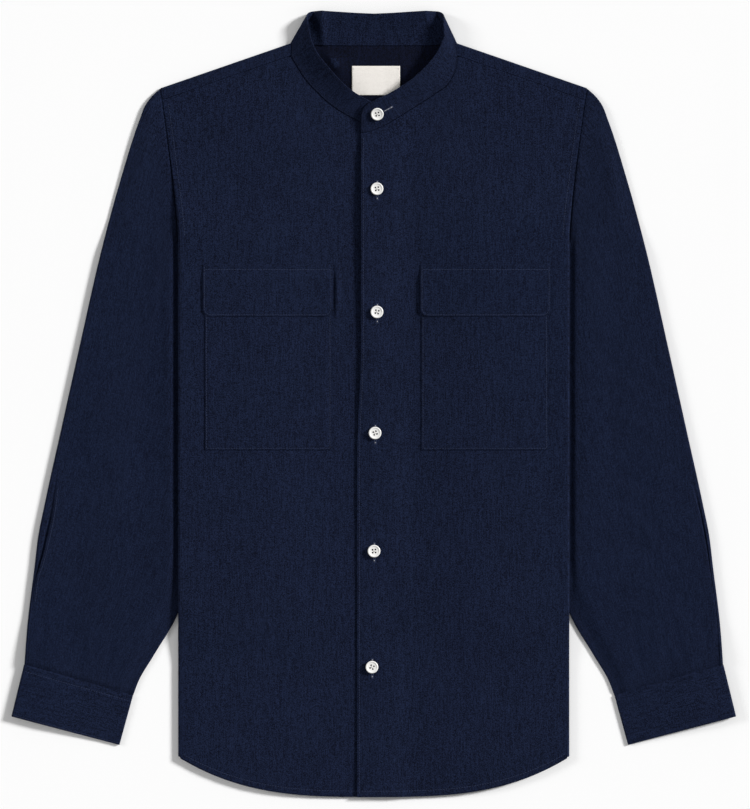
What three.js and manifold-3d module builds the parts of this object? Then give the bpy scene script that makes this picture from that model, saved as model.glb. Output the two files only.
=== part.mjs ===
// A mandarin collar shirt laid flat on a table, buttoned, front up, with the sides of its
// body tucked under and its sleeves passing below them. Millimetres, Z up, collar towards +Y.
import * as THREE from 'three';
import { mergeVertices } from 'three/addons/utils/BufferGeometryUtils.js';
import Module from 'manifold-3d';

const wasm = await Module();
wasm.setup();

// Cloth
const CLOTH = 1.0;          // one ply
const HALF = CLOTH / 2;
const PLY = 1.4;            // from the middle of one ply to the middle of the next
const AIR = 2.7;            // from the back to the front where nothing lies between them
const SEAM_GAP = 0.4;       // between two edges sewn together
const PATCH = 1.3;          // from the middle of a panel to the middle of a patch on it

// Body
const SIDE_X = 197.7;       // the side fold, half the laid width
const SWELL_X = 30;         // the fronts start to rise towards the side
const RISE_X = 95;          // the back starts to rise over the tuck
const TUCK_X = 122;         // inner edge of the tuck, which is the side seam
const LIFT_Y = 241;         // the sides start to lift off the back
const TUCK_Y = 166;         // top of the side fold
const UNDERARM_Y = 60;
const EXIT_Y = -221;        // the sleeve comes out from below the body
const LOW_Y = -264;         // the tuck lies on the table from here down
const HEM_Y = -397;         // lowest point of the curved hem
const HEM_RISE = 40.4;      // how far the hem climbs to the side fold
const HEM_SLOPE = 0.61;     // of the hem where it goes round the fold
const HEM_EASE = 0.0025;    // and how fast that slope lessens on the tuck
const BACK_SHORT = 1.5;     // the back hem lies just inside the front hem
const FRONT_FOLD = 1.5 * PLY;
const BACK_FOLD = 0.5 * PLY;
const TUCK_LEAST = 6;       // the tuck's width where it starts
const TUCK_CUT = 73;        // its width in the flat cut, and that of the turn beside it
const TURN_CUT = 3;

// Shoulders and yoke
const NECK_X = 85.8;        // where the shoulder line meets the neckline
const NECK_Y = 364;
const SHOULDER_FALL = 0.3457;
const TIP_X = 215.4;
const TIP_Y = 319.2;
const ARMHOLE_BEND = 1.35;  // the armhole curves out faster towards the shoulder tip
const STRIP = 12.5;         // the yoke reaches this far over the shoulder
const YOKE_Y = 271.7;       // its seam across the back
const BACK_NECK_Y = 361.5;

// Front overlap
const OVER_EDGE_X = 18;     // the upper front is at full height up to here
const OVER_END_X = 45;      // and level with the lower one from here
const OVER_RISE = 2.0;
const EDGE_LIFT = 1.2;      // the loose edge between the upper buttons
const EDGE_LIFT_Y = { top: 285, full: 235, fade: 30, low: -60 };
const UNDER_DIP = 0.4;      // the lower front lies this much deeper below the upper one
const DIP_X = { full: 20, end: 50 };
const EDGE_SWING = -4;      // the front edge drifts this far over below the chest
const SWING_Y = { start: 60, full: -60 };
const SWING_REACH = 60;     // from the edge to the columns that no longer drift

const BODY_ROWS = [LIFT_Y, 216, 191, TUCK_Y, 143, 105, UNDERARM_Y, 4, -67, -137, -198, EXIT_Y, -243, LOW_Y];
const HEM_STEPS = [0.35, 0.7, 1];
const YOKE_TO_BODY = [0, 0.25, 0.5, 0.75];
const RISE_COLUMNS = [102, 109, 115.5, TUCK_X];
const SIDE_STEPS = [0.33, 0.67, 1];
const FOLD_ANGLES = [45, 90, 135, 180];
const TUCK_STEPS = [0.35, 0.7, 1];
const BACK_COLUMNS = [30, 62, RISE_X];

const table = (names, rows) =>
  rows.map((row) => Object.fromEntries(names.map((name, i) => [name, row[i]])));

// Neckline of each front from its button edge to the yoke, as distances out from the middle.
// down: where the column runs below the chest; x, y: on the neckline; topX, topY, topZ: top of the band.
const NECKLINE_COLUMNS = ['down', 'x', 'y', 'topX', 'topY', 'topZ'];
const OVER_NECKLINE = table(NECKLINE_COLUMNS, [
  [-12.9, -12.9, 273.7, -12.5, 291.9, 8.2],
  [3.0, -3.0, 275.3, -8.5, 300.5, 10.0],
  [18.0, 13.4, 282.4, 2.0, 307.0, 11.5],
  [31.0, 29.5, 292.1, 16.3, 313.8, 12.5],
  [45.0, 52.2, 306.5, 36.1, 325.9, 13.0],
  [60.0, 64.0, 314.6, 44.0, 332.8, 13.0],
  [74.0, 74.8, 322.7, 52.2, 340.4, 13.0],
  [85.0, 82.8, 337.3, 64.0, 355.0, 13.0],
  [95.0, 84.6, 350.6, 71.0, 371.0, 13.0],
]);
const UNDER_NECKLINE = table(NECKLINE_COLUMNS, [
  [-17.2, -17.2, 275.5, -19.0, 297.0, 4.6],
  [-3.0, -3.0, 277.8, -9.0, 302.0, 5.8],
  [13.5, 13.9, 284.8, 1.8, 305.0, 7.5],
  [30.0, 31.6, 293.9, 17.5, 313.3, 9.5],
  [45.0, 47.2, 305.0, 29.5, 322.3, 11.5],
  [60.0, 60.3, 317.6, 39.5, 332.8, 12.5],
  [74.0, 70.4, 329.3, 49.5, 344.5, 13.0],
  [85.0, 77.5, 340.4, 57.3, 354.9, 13.0],
  [95.0, 83.6, 350.6, 63.4, 369.0, 13.0],
]);

// Band
const BAND = 1.6;
const BAND_BACK_Z = BAND / 2;
const BAND_BACK_TOP_Z = 2.6;
const BAND_BACK = table(['x', 'seamY', 'topX', 'topY'], [
  [66, 362.6, 53, 397.0],
  [42, 362.1, 38, 396.1],
  [20, 362.0, 18, 394.8],
  [0, 362.0, 0, 394.0],
]);
const BAND_STEPS = [0, 0.33, 0.67, 1];
const BAND_CURL = 1.35;     // the band lies flatter at its seam than at its top edge
const BAND_SEAM_OUT = { x: 84.3, y: NECK_Y + 0.6 };
// Where the band folds over at each side of the neck: its top edge from the front down to the back
const BAND_FOLD = table(['turn', 'x', 'y', 'z'], [
  [90, 67.0, 388.6, 12.6],
  [45, 67.2, 391.6, 10.6],
  [0, 65.8, 394.4, 7.8],
  [-45, 63.0, 396.0, 5.0],
  [-90, 59.4, 396.7, 3.2],
]);
const OVER_FOLD_OUT = 3;    // the fold on the upper front's side reaches this much further out

// Sleeve outline, from the shoulder tip to the cuff and from the underarm to the cuff
const SLEEVE_OUTER = table(['x', 'y'], [
  [216.3, 318.3], [224.3, 311], [230.3, 303], [236.8, 286.8], [254.5, 231.3], [275.2, 155.5],
  [295.9, 64.6], [316.1, -26.3], [332.8, -102], [338.9, -132.3], [342.6, -162.6], [350, -223.2],
  [352.9, -262.4],
]);
const SLEEVE_INNER = table(['x', 'y'], [
  [124, 60], [150, -60], [180, -160], [201, -219], [221.7, -253.5], [237.6, -280.5], [242.7, -293.9],
]);
const SLEEVE_ROWS = [0, 0.035, 0.08, 0.13, 0.19, 0.26, 0.34, 0.43, 0.52, 0.61, 0.68, 0.735, 0.775, 0.815,
  0.855, 0.895, 0.935, 0.97, 1];
const SLEEVE_TOP = [0.25, 0.4, 0.55, 0.7, 0.85];
const SLEEVE_UNDER = [0.75, 0.5, 0.25];
const SLEEVE_LOFT = 2.2;
const LOFT_FROM_X = 212;
const LOFT_FULL_X = 245;
const SHOULDER_LOFT = 1.3;
const VENT_STEP = 1.3;      // the front side of the vent stands this far above the back side
const VENT_WIDTH = 1.4;
const VENT_LEAST = 2.5;     // from the outer edge to a vent line that has run out
const SHOULDER_LOFT_Y = { start: 190, full: 300 };
const VENT_SWELL = 0.9;     // the open front side swells a little towards the outer edge
const WRIST_LIFT = 3.1;     // the under ply climbs over the button and the cuff's end at the wrist
const WRIST_SWELL = 2.2;    // and lifts the top ply
// The vent line on each sleeve: its distance from the outer edge, and how open it is
const VENT_COLUMNS = ['y', 'inset', 'open'];
const VENT_RIGHT = table(VENT_COLUMNS, [
  [-70, 9, 0], [-105, 12, 0.3], [-130, 11.5, 1], [-152, 8.5, 1], [-166, 5.5, 1], [-180, 3, 0.4],
  [-200, 4, 0],
]);
const VENT_LEFT = table(VENT_COLUMNS, [
  [-80, 8, 0], [-112, 6.5, 0.4], [-135, 6, 1], [-160, 4.8, 1], [-184, 4, 1], [-208, 3, 0.6], [-232, 3, 0],
]);

// Cuff: its four corners, and its path round the wrist as distances from the outer edge
const CUFF = 1.2;
const CUFF_CORNERS = {
  outerTop: [353.2, -262.9], outerLow: [366, -315.4], innerTop: [243.1, -294.4], innerLow: [256.8, -344.4],
};
const CUFF_WIDTH = 114.5;
const CUFF_TOP_Z = 6.0;
const CUFF_FLAP_Z = 2.9;
const CUFF_INNER_Z = 4.4;
const CUFF_FLAT_Z = 2.2;
const CUFF_FLAP = 34;
const CUFF_SLOPE = [37, 56];
const CUFF_BEND_W = 18;     // where the lapped end, the top ply and the end under it start to lie level
const CUFF_LEVEL_W = 20;
const CUFF_END_W = 12;
const CUFF_MIDDLE_W = 85;
const CUFF_BUTTON_W = 19;

// Pockets: inner edge nearest the front edge, outer edge, and the flap above
const POCKET_TOP_Y = 127;
const POCKET_LOW_Y = -46.3;
const POCKET_RIGHT = { inner: 42.7, outer: 170.4 };
const POCKET_LEFT = { inner: 48.2, outer: 176.0 };
const FLAP_RIGHT = { inner: 41.7, outer: 172.5 };
const FLAP_LEFT = { inner: 47.2, outer: 178.6 };
const FLAP_ROWS = table(['y', 'inset', 'out', 'lift'], [
  [140.9, 0, 1.3, 0],
  [135.3, 0, 1.4, 0.15],
  [128.5, 0, 2.9, 0.4],
  [112, 0, 3.0, 0.85],
  [97, 0, 3.0, 1],
  [91, 2.2, 2.9, 1],
  [88.4, 8, 2.8, 0.9],
]);
const FLAP_LIFT = 1.2;
const FLAP_LIFT_SHARE = 0.3;
const PATCH_COLUMNS = [52, 62, 70, 78, 86, RISE_X, ...RISE_COLUMNS, 148];

// Buttons
const BUTTON_RADIUS = 6.35;
const BUTTON_HEIGHT = 2.3;
const BUTTON_FACE = 1.6;
const BUTTON_SIDES = 16;
const BUTTON_GAP = 0.35;
const HOLE_RADIUS = 0.8;
const HOLE_OFFSET = 1.25;
const CUFF_BUTTON_SCALE = 0.86;
const FRONT_BUTTONS = table(['x', 'y'], [
  [3.3, 217.2], [3.3, 92.9], [1.3, -29.3], [0.3, -148.5], [-1.8, -265.6],
]);
const COLLAR_BUTTON = { station: 1.69, across: 0.5 };

// Label on the inside of the yoke
const LABEL = { x: 2.3, y: 326.8, width: 48.5, height: 29.4, thickness: 0.8 };

const material = (name, color, roughness) =>
  new THREE.MeshStandardMaterial({ name, color, roughness, metalness: 0 });
const SHIRTING = material('shirting', 0x161d31, 0.92);
const BUTTON = material('button', 0xf2f0ec, 0.35);
const LABEL_CLOTH = material('label', 0xeae6e2, 0.8);

const shirt = new THREE.Group();
shirt.name = 'mandarin_collar_shirt';

function add(name, geometry, finish) {
  const mesh = new THREE.Mesh(geometry, finish);
  mesh.name = name;
  shirt.add(mesh);
  return mesh;
}

// Small helpers
const lerp = THREE.MathUtils.lerp;
const clamp01 = (t) => Math.min(1, Math.max(0, t));
function ramp(value, from, to) {
  const t = clamp01((value - from) / (to - from));
  return t * t * (3 - 2 * t);
}
const vec = (x, y, z) => new THREE.Vector3(x, y, z);

// A value read from a table between its rows, which run down in y
function readTable(rows, y, name) {
  if (y >= rows[0].y) return rows[0][name];
  for (let i = 1; i < rows.length; i += 1) {
    const [above, below] = [rows[i - 1], rows[i]];
    if (y >= below.y) return lerp(above[name], below[name], (above.y - y) / (above.y - below.y));
  }
  return rows[rows.length - 1][name];
}

// A closed wall of even thickness round a grid of middle points. `has` says which cells exist,
// and `ring` joins the last column to the first.
function wall(points, thickness, { has = () => true, ring = false } = {}) {
  const rowCount = points.length;
  const columnCount = points[0].length;
  const cellColumns = ring ? columnCount : columnCount - 1;
  const exists = (i, j) => {
    const column = ring ? (j + columnCount) % columnCount : j;
    return i >= 0 && i < rowCount - 1 && column >= 0 && column < cellColumns && has(i, column);
  };
  const at = (i, j) => points[i][j % columnCount];
  const cellNormal = (i, j) => {
    const down = vec(0, 0, 0).subVectors(at(i + 1, j), at(i, j + 1));
    const across = vec(0, 0, 0).subVectors(at(i + 1, j + 1), at(i, j));
    return across.cross(down).normalize();
  };
  const positions = [];
  const ids = points.map(() => new Array(columnCount).fill(-1));
  for (let i = 0; i < rowCount; i += 1) {
    for (let j = 0; j < columnCount; j += 1) {
      const around = [[i, j], [i - 1, j], [i, j - 1], [i - 1, j - 1]].filter(([a, b]) => exists(a, b));
      if (around.length === 0) continue;
      const normals = around.map(([a, b]) => cellNormal(a, (b + columnCount) % columnCount));
      const normal = normals.reduce((sum, n) => sum.add(n), vec(0, 0, 0)).normalize();
      const spread = normals.reduce((sum, n) => sum + n.dot(normal), 0) / normals.length;
      const reach = thickness / 2 / Math.max(0.6, spread);
      ids[i][j] = positions.length / 3;
      for (const sign of [1, -1]) {
        positions.push(...at(i, j).clone().addScaledVector(normal, sign * reach).toArray());
      }
    }
  }
  const index = [];
  const quad = (a, b, c, d) => index.push(a, b, c, a, c, d);
  for (let i = 0; i < rowCount - 1; i += 1) {
    for (let j = 0; j < cellColumns; j += 1) {
      if (!exists(i, j)) continue;
      const next = (j + 1) % columnCount;
      const [a, b, c, d] = [ids[i][j], ids[i + 1][j], ids[i + 1][next], ids[i][next]];
      quad(a, b, c, d);
      quad(a + 1, d + 1, c + 1, b + 1);
      if (!exists(i - 1, j)) quad(a, d, d + 1, a + 1);
      if (!exists(i + 1, j)) quad(c, b, b + 1, c + 1);
      if (!exists(i, j - 1)) quad(b, a, a + 1, b + 1);
      if (!exists(i, j + 1)) quad(d, c, c + 1, d + 1);
    }
  }
  return facingOut(positions, index);
}

// Turns every face over when the mesh would enclose a negative volume
function facingOut(positions, index) {
  const corner = (i) => vec(...positions.slice(3 * i, 3 * i + 3));
  let volume = 0;
  for (let i = 0; i < index.length; i += 3) {
    const [a, b, c] = [corner(index[i]), corner(index[i + 1]), corner(index[i + 2])];
    volume += a.dot(b.cross(c));
  }
  if (volume < 0) index.reverse();
  const geometry = new THREE.BufferGeometry();
  geometry.setAttribute('position', new THREE.Float32BufferAttribute(positions, 3));
  geometry.setIndex(index);
  geometry.computeVertexNormals();
  return geometry;
}

// Heights of the middle of the back and of the fronts, over the tuck and the sleeve below it
const tuckRise = (y) => ramp(y, LIFT_Y, TUCK_Y);
const sleeveRise = (y) => tuckRise(y) * (1 - ramp(y, EXIT_Y, LOW_Y));
const pliesBelow = (y) => 2 * PLY * (tuckRise(y) + sleeveRise(y));
const backZ = (x, y) => HALF + ramp(Math.abs(x), RISE_X, TUCK_X) * pliesBelow(y);
const frontRise = (y) => pliesBelow(y) - (AIR - PLY) * tuckRise(y);
const frontZ = (x, y) => HALF + AIR + ramp(Math.abs(x), SWELL_X, TUCK_X) * frontRise(y);
const edgeLift = (y) => EDGE_LIFT * ramp(y, EDGE_LIFT_Y.top, EDGE_LIFT_Y.full)
  * (1 - ramp(y, EDGE_LIFT_Y.fade, EDGE_LIFT_Y.low));
const overZ = (x, y) => frontZ(x, y) + (OVER_RISE + edgeLift(y)) * (1 - ramp(x, OVER_EDGE_X, OVER_END_X));
const underZ = (x, y) => frontZ(x, y) - UNDER_DIP * (1 - ramp(x, DIP_X.full, DIP_X.end));

// Outlines of the body
function armholeX(y) {
  return SIDE_X + (TIP_X - SIDE_X) * Math.max(0, (y - TUCK_Y) / (TIP_Y - TUCK_Y)) ** ARMHOLE_BEND;
}
const shoulderY = (x) => NECK_Y - SHOULDER_FALL * (x - NECK_X);
function tuckLength(y) {
  const share = clamp01((TUCK_Y - y) / (TUCK_Y - UNDERARM_Y));
  return lerp(TUCK_LEAST, SIDE_X - HALF - FRONT_FOLD - TUCK_X, share);
}
function hemY(arc) {
  const past = Math.max(0, arc - SIDE_X);
  return HEM_Y + HEM_RISE * (Math.min(arc, SIDE_X) / SIDE_X) ** 3 + HEM_SLOPE * past - HEM_EASE * past ** 2;
}

// The side of a panel: an arc of its own radius, which straightens out up the armhole
function foldArc(radius, bend, degrees) {
  const turn = THREE.MathUtils.degToRad(degrees);
  if (bend < 1e-3) return { out: radius * turn, down: 0 };
  const wide = radius / bend;
  return { out: wide * Math.sin(bend * turn), down: wide * (1 - Math.cos(bend * turn)) };
}
function foldStart(radius, y) {
  const bend = tuckRise(y);
  const inset = HALF * bend + (FRONT_FOLD - radius) * Math.sqrt(bend);
  return armholeX(y) - inset - foldArc(radius, bend, 90).out;
}
function foldPoint(radius, height, y, degrees, tuck) {
  const start = foldStart(radius, y);
  const arc = foldArc(radius, tuckRise(y), degrees);
  return { x: start + arc.out - tuck * tuckLength(y), z: height(start, y) - arc.down };
}

// Columns of a panel from the rise outward: on the panel, round the fold, and on the tuck
const SIDE_COLUMNS = [
  ...RISE_COLUMNS.map((down) => ({ place: () => down, arc: down })),
  ...SIDE_STEPS.map((t) => ({
    place: (start) => lerp(TUCK_X, start, t),
    arc: lerp(TUCK_X, SIDE_X - FRONT_FOLD, t),
  })),
  ...FOLD_ANGLES.map((degrees) => ({ degrees, tuck: 0, arc: SIDE_X + TURN_CUT * degrees / 180 })),
  ...TUCK_STEPS.map((tuck) => ({ degrees: 180, tuck, arc: SIDE_X + TURN_CUT + tuck * TUCK_CUT })),
];
const isTucked = (column) => column.tuck > 0 || column.degrees > 90;

function sideColumnPoint(column, radius, height, y) {
  if (column.degrees) return foldPoint(radius, height, y, column.degrees, column.tuck);
  const x = column.place(foldStart(radius, y));
  return { x, z: height(x, y) };
}

// One front: `neckline` rows give its inner columns, `side` is -1 or 1, `height` its middle
function frontPanel(neckline, side, height, edgeSwing) {
  const swing = (down, y) =>
    edgeSwing * ramp(y, SWING_Y.start, SWING_Y.full) * (1 - clamp01(down / SWING_REACH));
  const inner = neckline.map((row) => ({ ...row, arc: Math.max(0, row.down) }));
  const columns = [...inner, ...SIDE_COLUMNS];
  const bodyPoint = (column, y) => {
    if (column.down === undefined) return sideColumnPoint(column, FRONT_FOLD, height, y);
    const x = column.down + swing(column.down, y);
    return { x, z: height(x, y) };
  };
  const last = neckline[neckline.length - 1];
  const sideStart = foldStart(FRONT_FOLD, LIFT_Y);
  const topPoint = (column) => {
    if (column.down !== undefined) return { x: column.x, y: column.y };
    const below = bodyPoint(column, LIFT_Y).x;
    const share = (below - RISE_X) / (armholeX(LIFT_Y) - RISE_X);
    const x = lerp(last.x, armholeX(TIP_Y - STRIP), share);
    return { x, y: shoulderY(Math.max(x, NECK_X)) - STRIP - SEAM_GAP };
  };
  const rows = [];
  for (const t of YOKE_TO_BODY) {
    rows.push(columns.map((column) => {
      const top = topPoint(column);
      const low = bodyPoint(column, LIFT_Y);
      const x = lerp(top.x, Math.min(low.x, sideStart + 10), t);
      const y = lerp(top.y, LIFT_Y, t);
      return vec(side * x, y, height(x, y));
    }));
  }
  for (const y of BODY_ROWS) {
    rows.push(columns.map((column) => {
      const point = bodyPoint(column, y);
      return vec(side * point.x, y, point.z);
    }));
  }
  for (const t of HEM_STEPS) {
    rows.push(columns.map((column) => {
      const point = bodyPoint(column, LOW_Y);
      return vec(side * point.x, lerp(LOW_Y, hemY(column.arc), t), point.z);
    }));
  }
  const tuckRow = YOKE_TO_BODY.length + BODY_ROWS.indexOf(TUCK_Y);
  const has = (i, j) => i >= tuckRow || !isTucked(columns[j + 1]);
  return wall(rows, CLOTH, { has });
}

function backPanel() {
  const half = [...BACK_COLUMNS.map((x) => ({ place: () => x, arc: x })), ...SIDE_COLUMNS];
  const on = (side) => half.map((column) => ({ ...column, side }));
  const columns = [...on(-1).reverse(), { place: () => 0, arc: 0, side: 1 }, ...on(1)];
  const bodyPoint = (column, y) => sideColumnPoint(column, BACK_FOLD, backZ, y);
  const topY = YOKE_Y - SEAM_GAP;
  const levels = [topY, lerp(topY, LIFT_Y, 0.5), ...BODY_ROWS];
  const rows = levels.map((y) => columns.map((column) => {
    const point = bodyPoint(column, y);
    return vec(column.side * point.x, y, point.z);
  }));
  for (const t of HEM_STEPS) {
    rows.push(columns.map((column) => {
      const point = bodyPoint(column, LOW_Y);
      return vec(column.side * point.x, lerp(LOW_Y, hemY(column.arc) + BACK_SHORT, t), point.z);
    }));
  }
  const tuckRow = levels.indexOf(TUCK_Y);
  const has = (i, j) => i >= tuckRow || !(isTucked(columns[j]) || isTucked(columns[j + 1]));
  return wall(rows, CLOTH, { has });
}

// The yoke: across the back of the shoulders, over the shoulder line and down to the fronts
function yoke() {
  const radius = AIR / 2;
  const foldY = HALF + radius;
  const rowsDown = [
    ...[1, 0.5].map((t) => ({ drop: lerp(foldY, STRIP, t), z: HALF + AIR, strip: true })),
    ...[0, 45, 90, 135].map((degrees) => {
      const turn = THREE.MathUtils.degToRad(degrees);
      const z = HALF + radius + radius * Math.cos(turn);
      return { drop: foldY - radius * Math.sin(turn), z, strip: true };
    }),
    ...[0, 0.33, 0.67, 1].map((t) => ({ drop: foldY, z: HALF, strip: false, t })),
  ];
  const shares = [0, 0.2, 0.45, 0.7, 0.9, 1];
  const columns = [...[...shares].reverse().map((share) => ({ share, side: -1 })),
    ...[-60, -30, 0, 30, 60].map((x) => ({ x })), ...shares.map((share) => ({ share, side: 1 }))];
  const rows = rowsDown.map((row) => columns.map((column) => {
    const t = row.t ?? 0;
    if (column.share === undefined) return vec(column.x, lerp(BACK_NECK_Y, YOKE_Y, t), row.z);
    const endX = armholeX(lerp(TIP_Y - row.drop, YOKE_Y, t));
    const x = lerp(NECK_X, endX, column.share);
    return vec(column.side * x, lerp(shoulderY(x) - row.drop, YOKE_Y, t), row.z);
  }));
  const stripRows = rowsDown.filter((row) => row.strip).length;
  const onShoulder = (column) => column.share !== undefined;
  const has = (i, j) => {
    const bothShoulder = onShoulder(columns[j]) && onShoulder(columns[j + 1]);
    return i >= stripRows || (bothShoulder && columns[j].side === columns[j + 1].side);
  };
  return wall(rows, CLOTH, { has });
}

// The band as stations from its lower end at the front, round the neck, to its upper end.
// Each station has a point on the seam and one on the top edge.
function bandStations() {
  const front = (neckline, side, height) => neckline.map((row) => {
    const top = vec(side * row.topX, row.topY, row.topZ);
    const seam = vec(side * row.x, row.y, height(row.x, row.y) + (BAND - CLOTH) / 2);
    const inward = vec(top.x - seam.x, top.y - seam.y, 0).normalize();
    return { seam: seam.addScaledVector(inward, SEAM_GAP + 0.1), top };
  });
  const fallAngle = Math.atan(SHOULDER_FALL);
  const highZ = HALF + AIR + (BAND - CLOTH) / 2;
  const radius = (highZ - BAND_BACK_Z) / 2;
  const fold = (side, reach) => BAND_FOLD.map(({ turn, x, y, z }) => {
    const angle = THREE.MathUtils.degToRad(turn);
    const inset = radius + BAND / 2 - radius * Math.cos(angle);
    const seam = vec(
      side * (BAND_SEAM_OUT.x - inset * Math.cos(fallAngle)),
      BAND_SEAM_OUT.y - inset * Math.sin(fallAngle),
      BAND_BACK_Z + radius + radius * Math.sin(angle),
    );
    return { seam, top: vec(side * (x + reach), y, z) };
  });
  const back = (side) => BAND_BACK.map((row) => ({
    seam: vec(side * row.x, row.seamY, BAND_BACK_Z),
    top: vec(side * row.topX, row.topY, BAND_BACK_TOP_Z),
  }));
  const backRight = back(1);
  return [
    ...front(UNDER_NECKLINE, -1, underZ), ...fold(-1, 0), ...back(-1), ...backRight.slice(0, -1).reverse(),
    ...fold(1, OVER_FOLD_OUT).reverse(), ...front(OVER_NECKLINE, 1, overZ).reverse(),
  ];
}
const STATIONS = bandStations();

function bandPoint(position, across) {
  const first = Math.min(STATIONS.length - 2, Math.floor(position));
  const share = position - first;
  const [a, b] = [STATIONS[first], STATIONS[first + 1]];
  const seam = a.seam.clone().lerp(b.seam, share);
  const top = a.top.clone().lerp(b.top, share);
  const point = seam.clone().lerp(top, across);
  point.z = lerp(seam.z, top.z, across ** BAND_CURL);
  return point;
}

function collarBand() {
  const rows = BAND_STEPS.map((across) => STATIONS.map((_, i) => bandPoint(i, across)));
  return wall(rows, BAND);
}

// A sleeve: two plies between its outer and inner edges, from the armhole to the cuff
function sleeve(side, vent) {
  const curve = (rows) => {
    const points = rows.map((row) => vec(row.x, row.y, 0));
    return new THREE.CatmullRomCurve3(points, false, 'centripetal');
  };
  const outer = curve(SLEEVE_OUTER);
  const inner = curve(SLEEVE_INNER);
  const corner = SLEEVE_OUTER[0];
  const armhole = new THREE.CurvePath();
  const seamPoints = [0, 0.2, 0.4, 0.6, 0.8, 1].map((t) => {
    const y = lerp(corner.y, TUCK_Y, t);
    return vec(armholeX(y) + SEAM_GAP + 0.1, y, 0);
  });
  seamPoints[0] = vec(corner.x, corner.y, 0);
  const underarm = vec(SLEEVE_INNER[0].x, SLEEVE_INNER[0].y, 0);
  const armPoints = [...seamPoints, underarm];
  for (let i = 1; i < armPoints.length; i += 1) {
    armhole.add(new THREE.LineCurve3(armPoints[i - 1], armPoints[i]));
  }
  const wristOut = outer.getPoint(1);
  const wristIn = inner.getPoint(1);
  const patch = (u, v) => {
    const sides = outer.getPointAt(v).lerp(inner.getPointAt(v), u);
    const wrist = wristOut.clone().lerp(wristIn, u);
    const ends = armhole.getPointAt(u).lerp(wrist, v);
    const corners = armPoints[0].clone().lerp(underarm, u).lerp(wrist, v);
    return sides.add(ends).sub(corners);
  };
  const wristBump = (u, v) => ramp(v, 0.9, 1) * (1 - ramp(u, 0.3, 0.52));
  const lowZ = (u, v) => HALF + WRIST_LIFT * wristBump(u, v);
  const highZ = (point, u, v, high) => {
    const loft = ramp(point.x, LOFT_FROM_X, LOFT_FULL_X) * ramp(u, 0, 0.12) * (1 - ramp(u, 0.7, 1) * 0.9);
    const shoulder = SHOULDER_LOFT * ramp(point.y, SHOULDER_LOFT_Y.start, SHOULDER_LOFT_Y.full);
    const open = readTable(vent, point.y, 'open');
    const base = HALF + PLY + shoulder + loft * SLEEVE_LOFT * (1 - 0.5 * ramp(v, 0.85, 1));
    const stepDown = high ? 0 : VENT_STEP * open * ramp(base, HALF + PLY, HALF + PLY + 1);
    const swell = VENT_SWELL * open * ramp(u, 0.3, 0) + WRIST_SWELL * wristBump(u, v);
    return base + swell - stepDown;
  };
  const rows = SLEEVE_ROWS.map((v) => {
    const across = patch(1, v).distanceTo(patch(0, v));
    const outward = patch(0, v).sub(patch(0.06, v)).normalize();
    const inward = patch(1, v).sub(patch(0.94, v)).normalize();
    const y = patch(0, v).y;
    const inset = readTable(vent, y, 'inset');
    const lowOut = lowZ(0, v);
    const lowIn = lowZ(1, v);
    const shoulder = SHOULDER_LOFT * ramp(y, SHOULDER_LOFT_Y.start, SHOULDER_LOFT_Y.full);
    const radiusOut = (PLY + shoulder) / 2;
    const radiusIn = PLY / 2;
    const edgeOut = (radiusOut + HALF) / across;
    const edgeIn = 1 - (radiusIn + HALF) / across;
    const arc = (u, low, radius, direction, degrees) => {
      const turn = THREE.MathUtils.degToRad(degrees);
      const point = patch(u, v).addScaledVector(direction, radius * Math.cos(turn));
      return vec(point.x, point.y, low + radius + radius * Math.sin(turn));
    };
    const top = (u, high) => {
      const point = patch(u, v);
      return vec(point.x, point.y, highZ(point, u, v, high));
    };
    const ventLow = Math.max(VENT_LEAST, inset - VENT_WIDTH) / across;
    const ventHigh = ventLow + VENT_WIDTH / across;
    const under = (u) => {
      const point = patch(u, v);
      return vec(point.x, point.y, lowZ(u, v));
    };
    const ring = [
      arc(edgeOut, lowOut, radiusOut, outward, 90), top(ventLow, false), top(ventHigh, true),
      ...SLEEVE_TOP.map((u) => top(u, true)),
      ...[90, 45, 0, -45, -90].map((degrees) => arc(edgeIn, lowIn, radiusIn, inward, degrees)),
      ...SLEEVE_UNDER.map(under),
      ...[-90, -45, 0, 45].map((degrees) => arc(edgeOut, lowOut, radiusOut, outward, degrees)),
    ];
    return ring.map((point) => vec(side * point.x, point.y, point.z));
  });
  return wall(rows, CLOTH, { ring: true });
}

// A cuff: one strip round the wrist, its ends lapped and buttoned on the underside
function cuffPath() {
  const arc = (edge, direction, highZ, lowZ, angles) => angles.map((degrees) => {
    const radius = (highZ - lowZ) / 2;
    const turn = THREE.MathUtils.degToRad(degrees);
    const inset = radius + CUFF / 2 - radius * Math.cos(turn);
    return { w: edge + direction * inset, z: (highZ + lowZ) / 2 + radius * Math.sin(turn) };
  });
  return [
    { w: CUFF_FLAP, z: CUFF_FLAP_Z }, { w: CUFF_BEND_W, z: CUFF_FLAP_Z },
    ...arc(0, 1, CUFF_TOP_Z, CUFF_FLAP_Z, [-90, -45, 0, 45, 90]),
    { w: CUFF_LEVEL_W, z: CUFF_TOP_Z }, { w: CUFF_SLOPE[0], z: CUFF_TOP_Z },
    { w: CUFF_SLOPE[1] + 2, z: CUFF_FLAT_Z + 0.3 }, { w: CUFF_MIDDLE_W, z: CUFF_FLAT_Z },
    ...arc(CUFF_WIDTH, -1, CUFF_FLAT_Z, CUFF / 2, [90, 45, 0, -45, -90]),
    { w: CUFF_MIDDLE_W, z: CUFF / 2 }, { w: CUFF_SLOPE[1], z: CUFF / 2 },
    { w: CUFF_SLOPE[0], z: CUFF_INNER_Z }, { w: CUFF_END_W, z: CUFF_INNER_Z },
  ];
}

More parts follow.
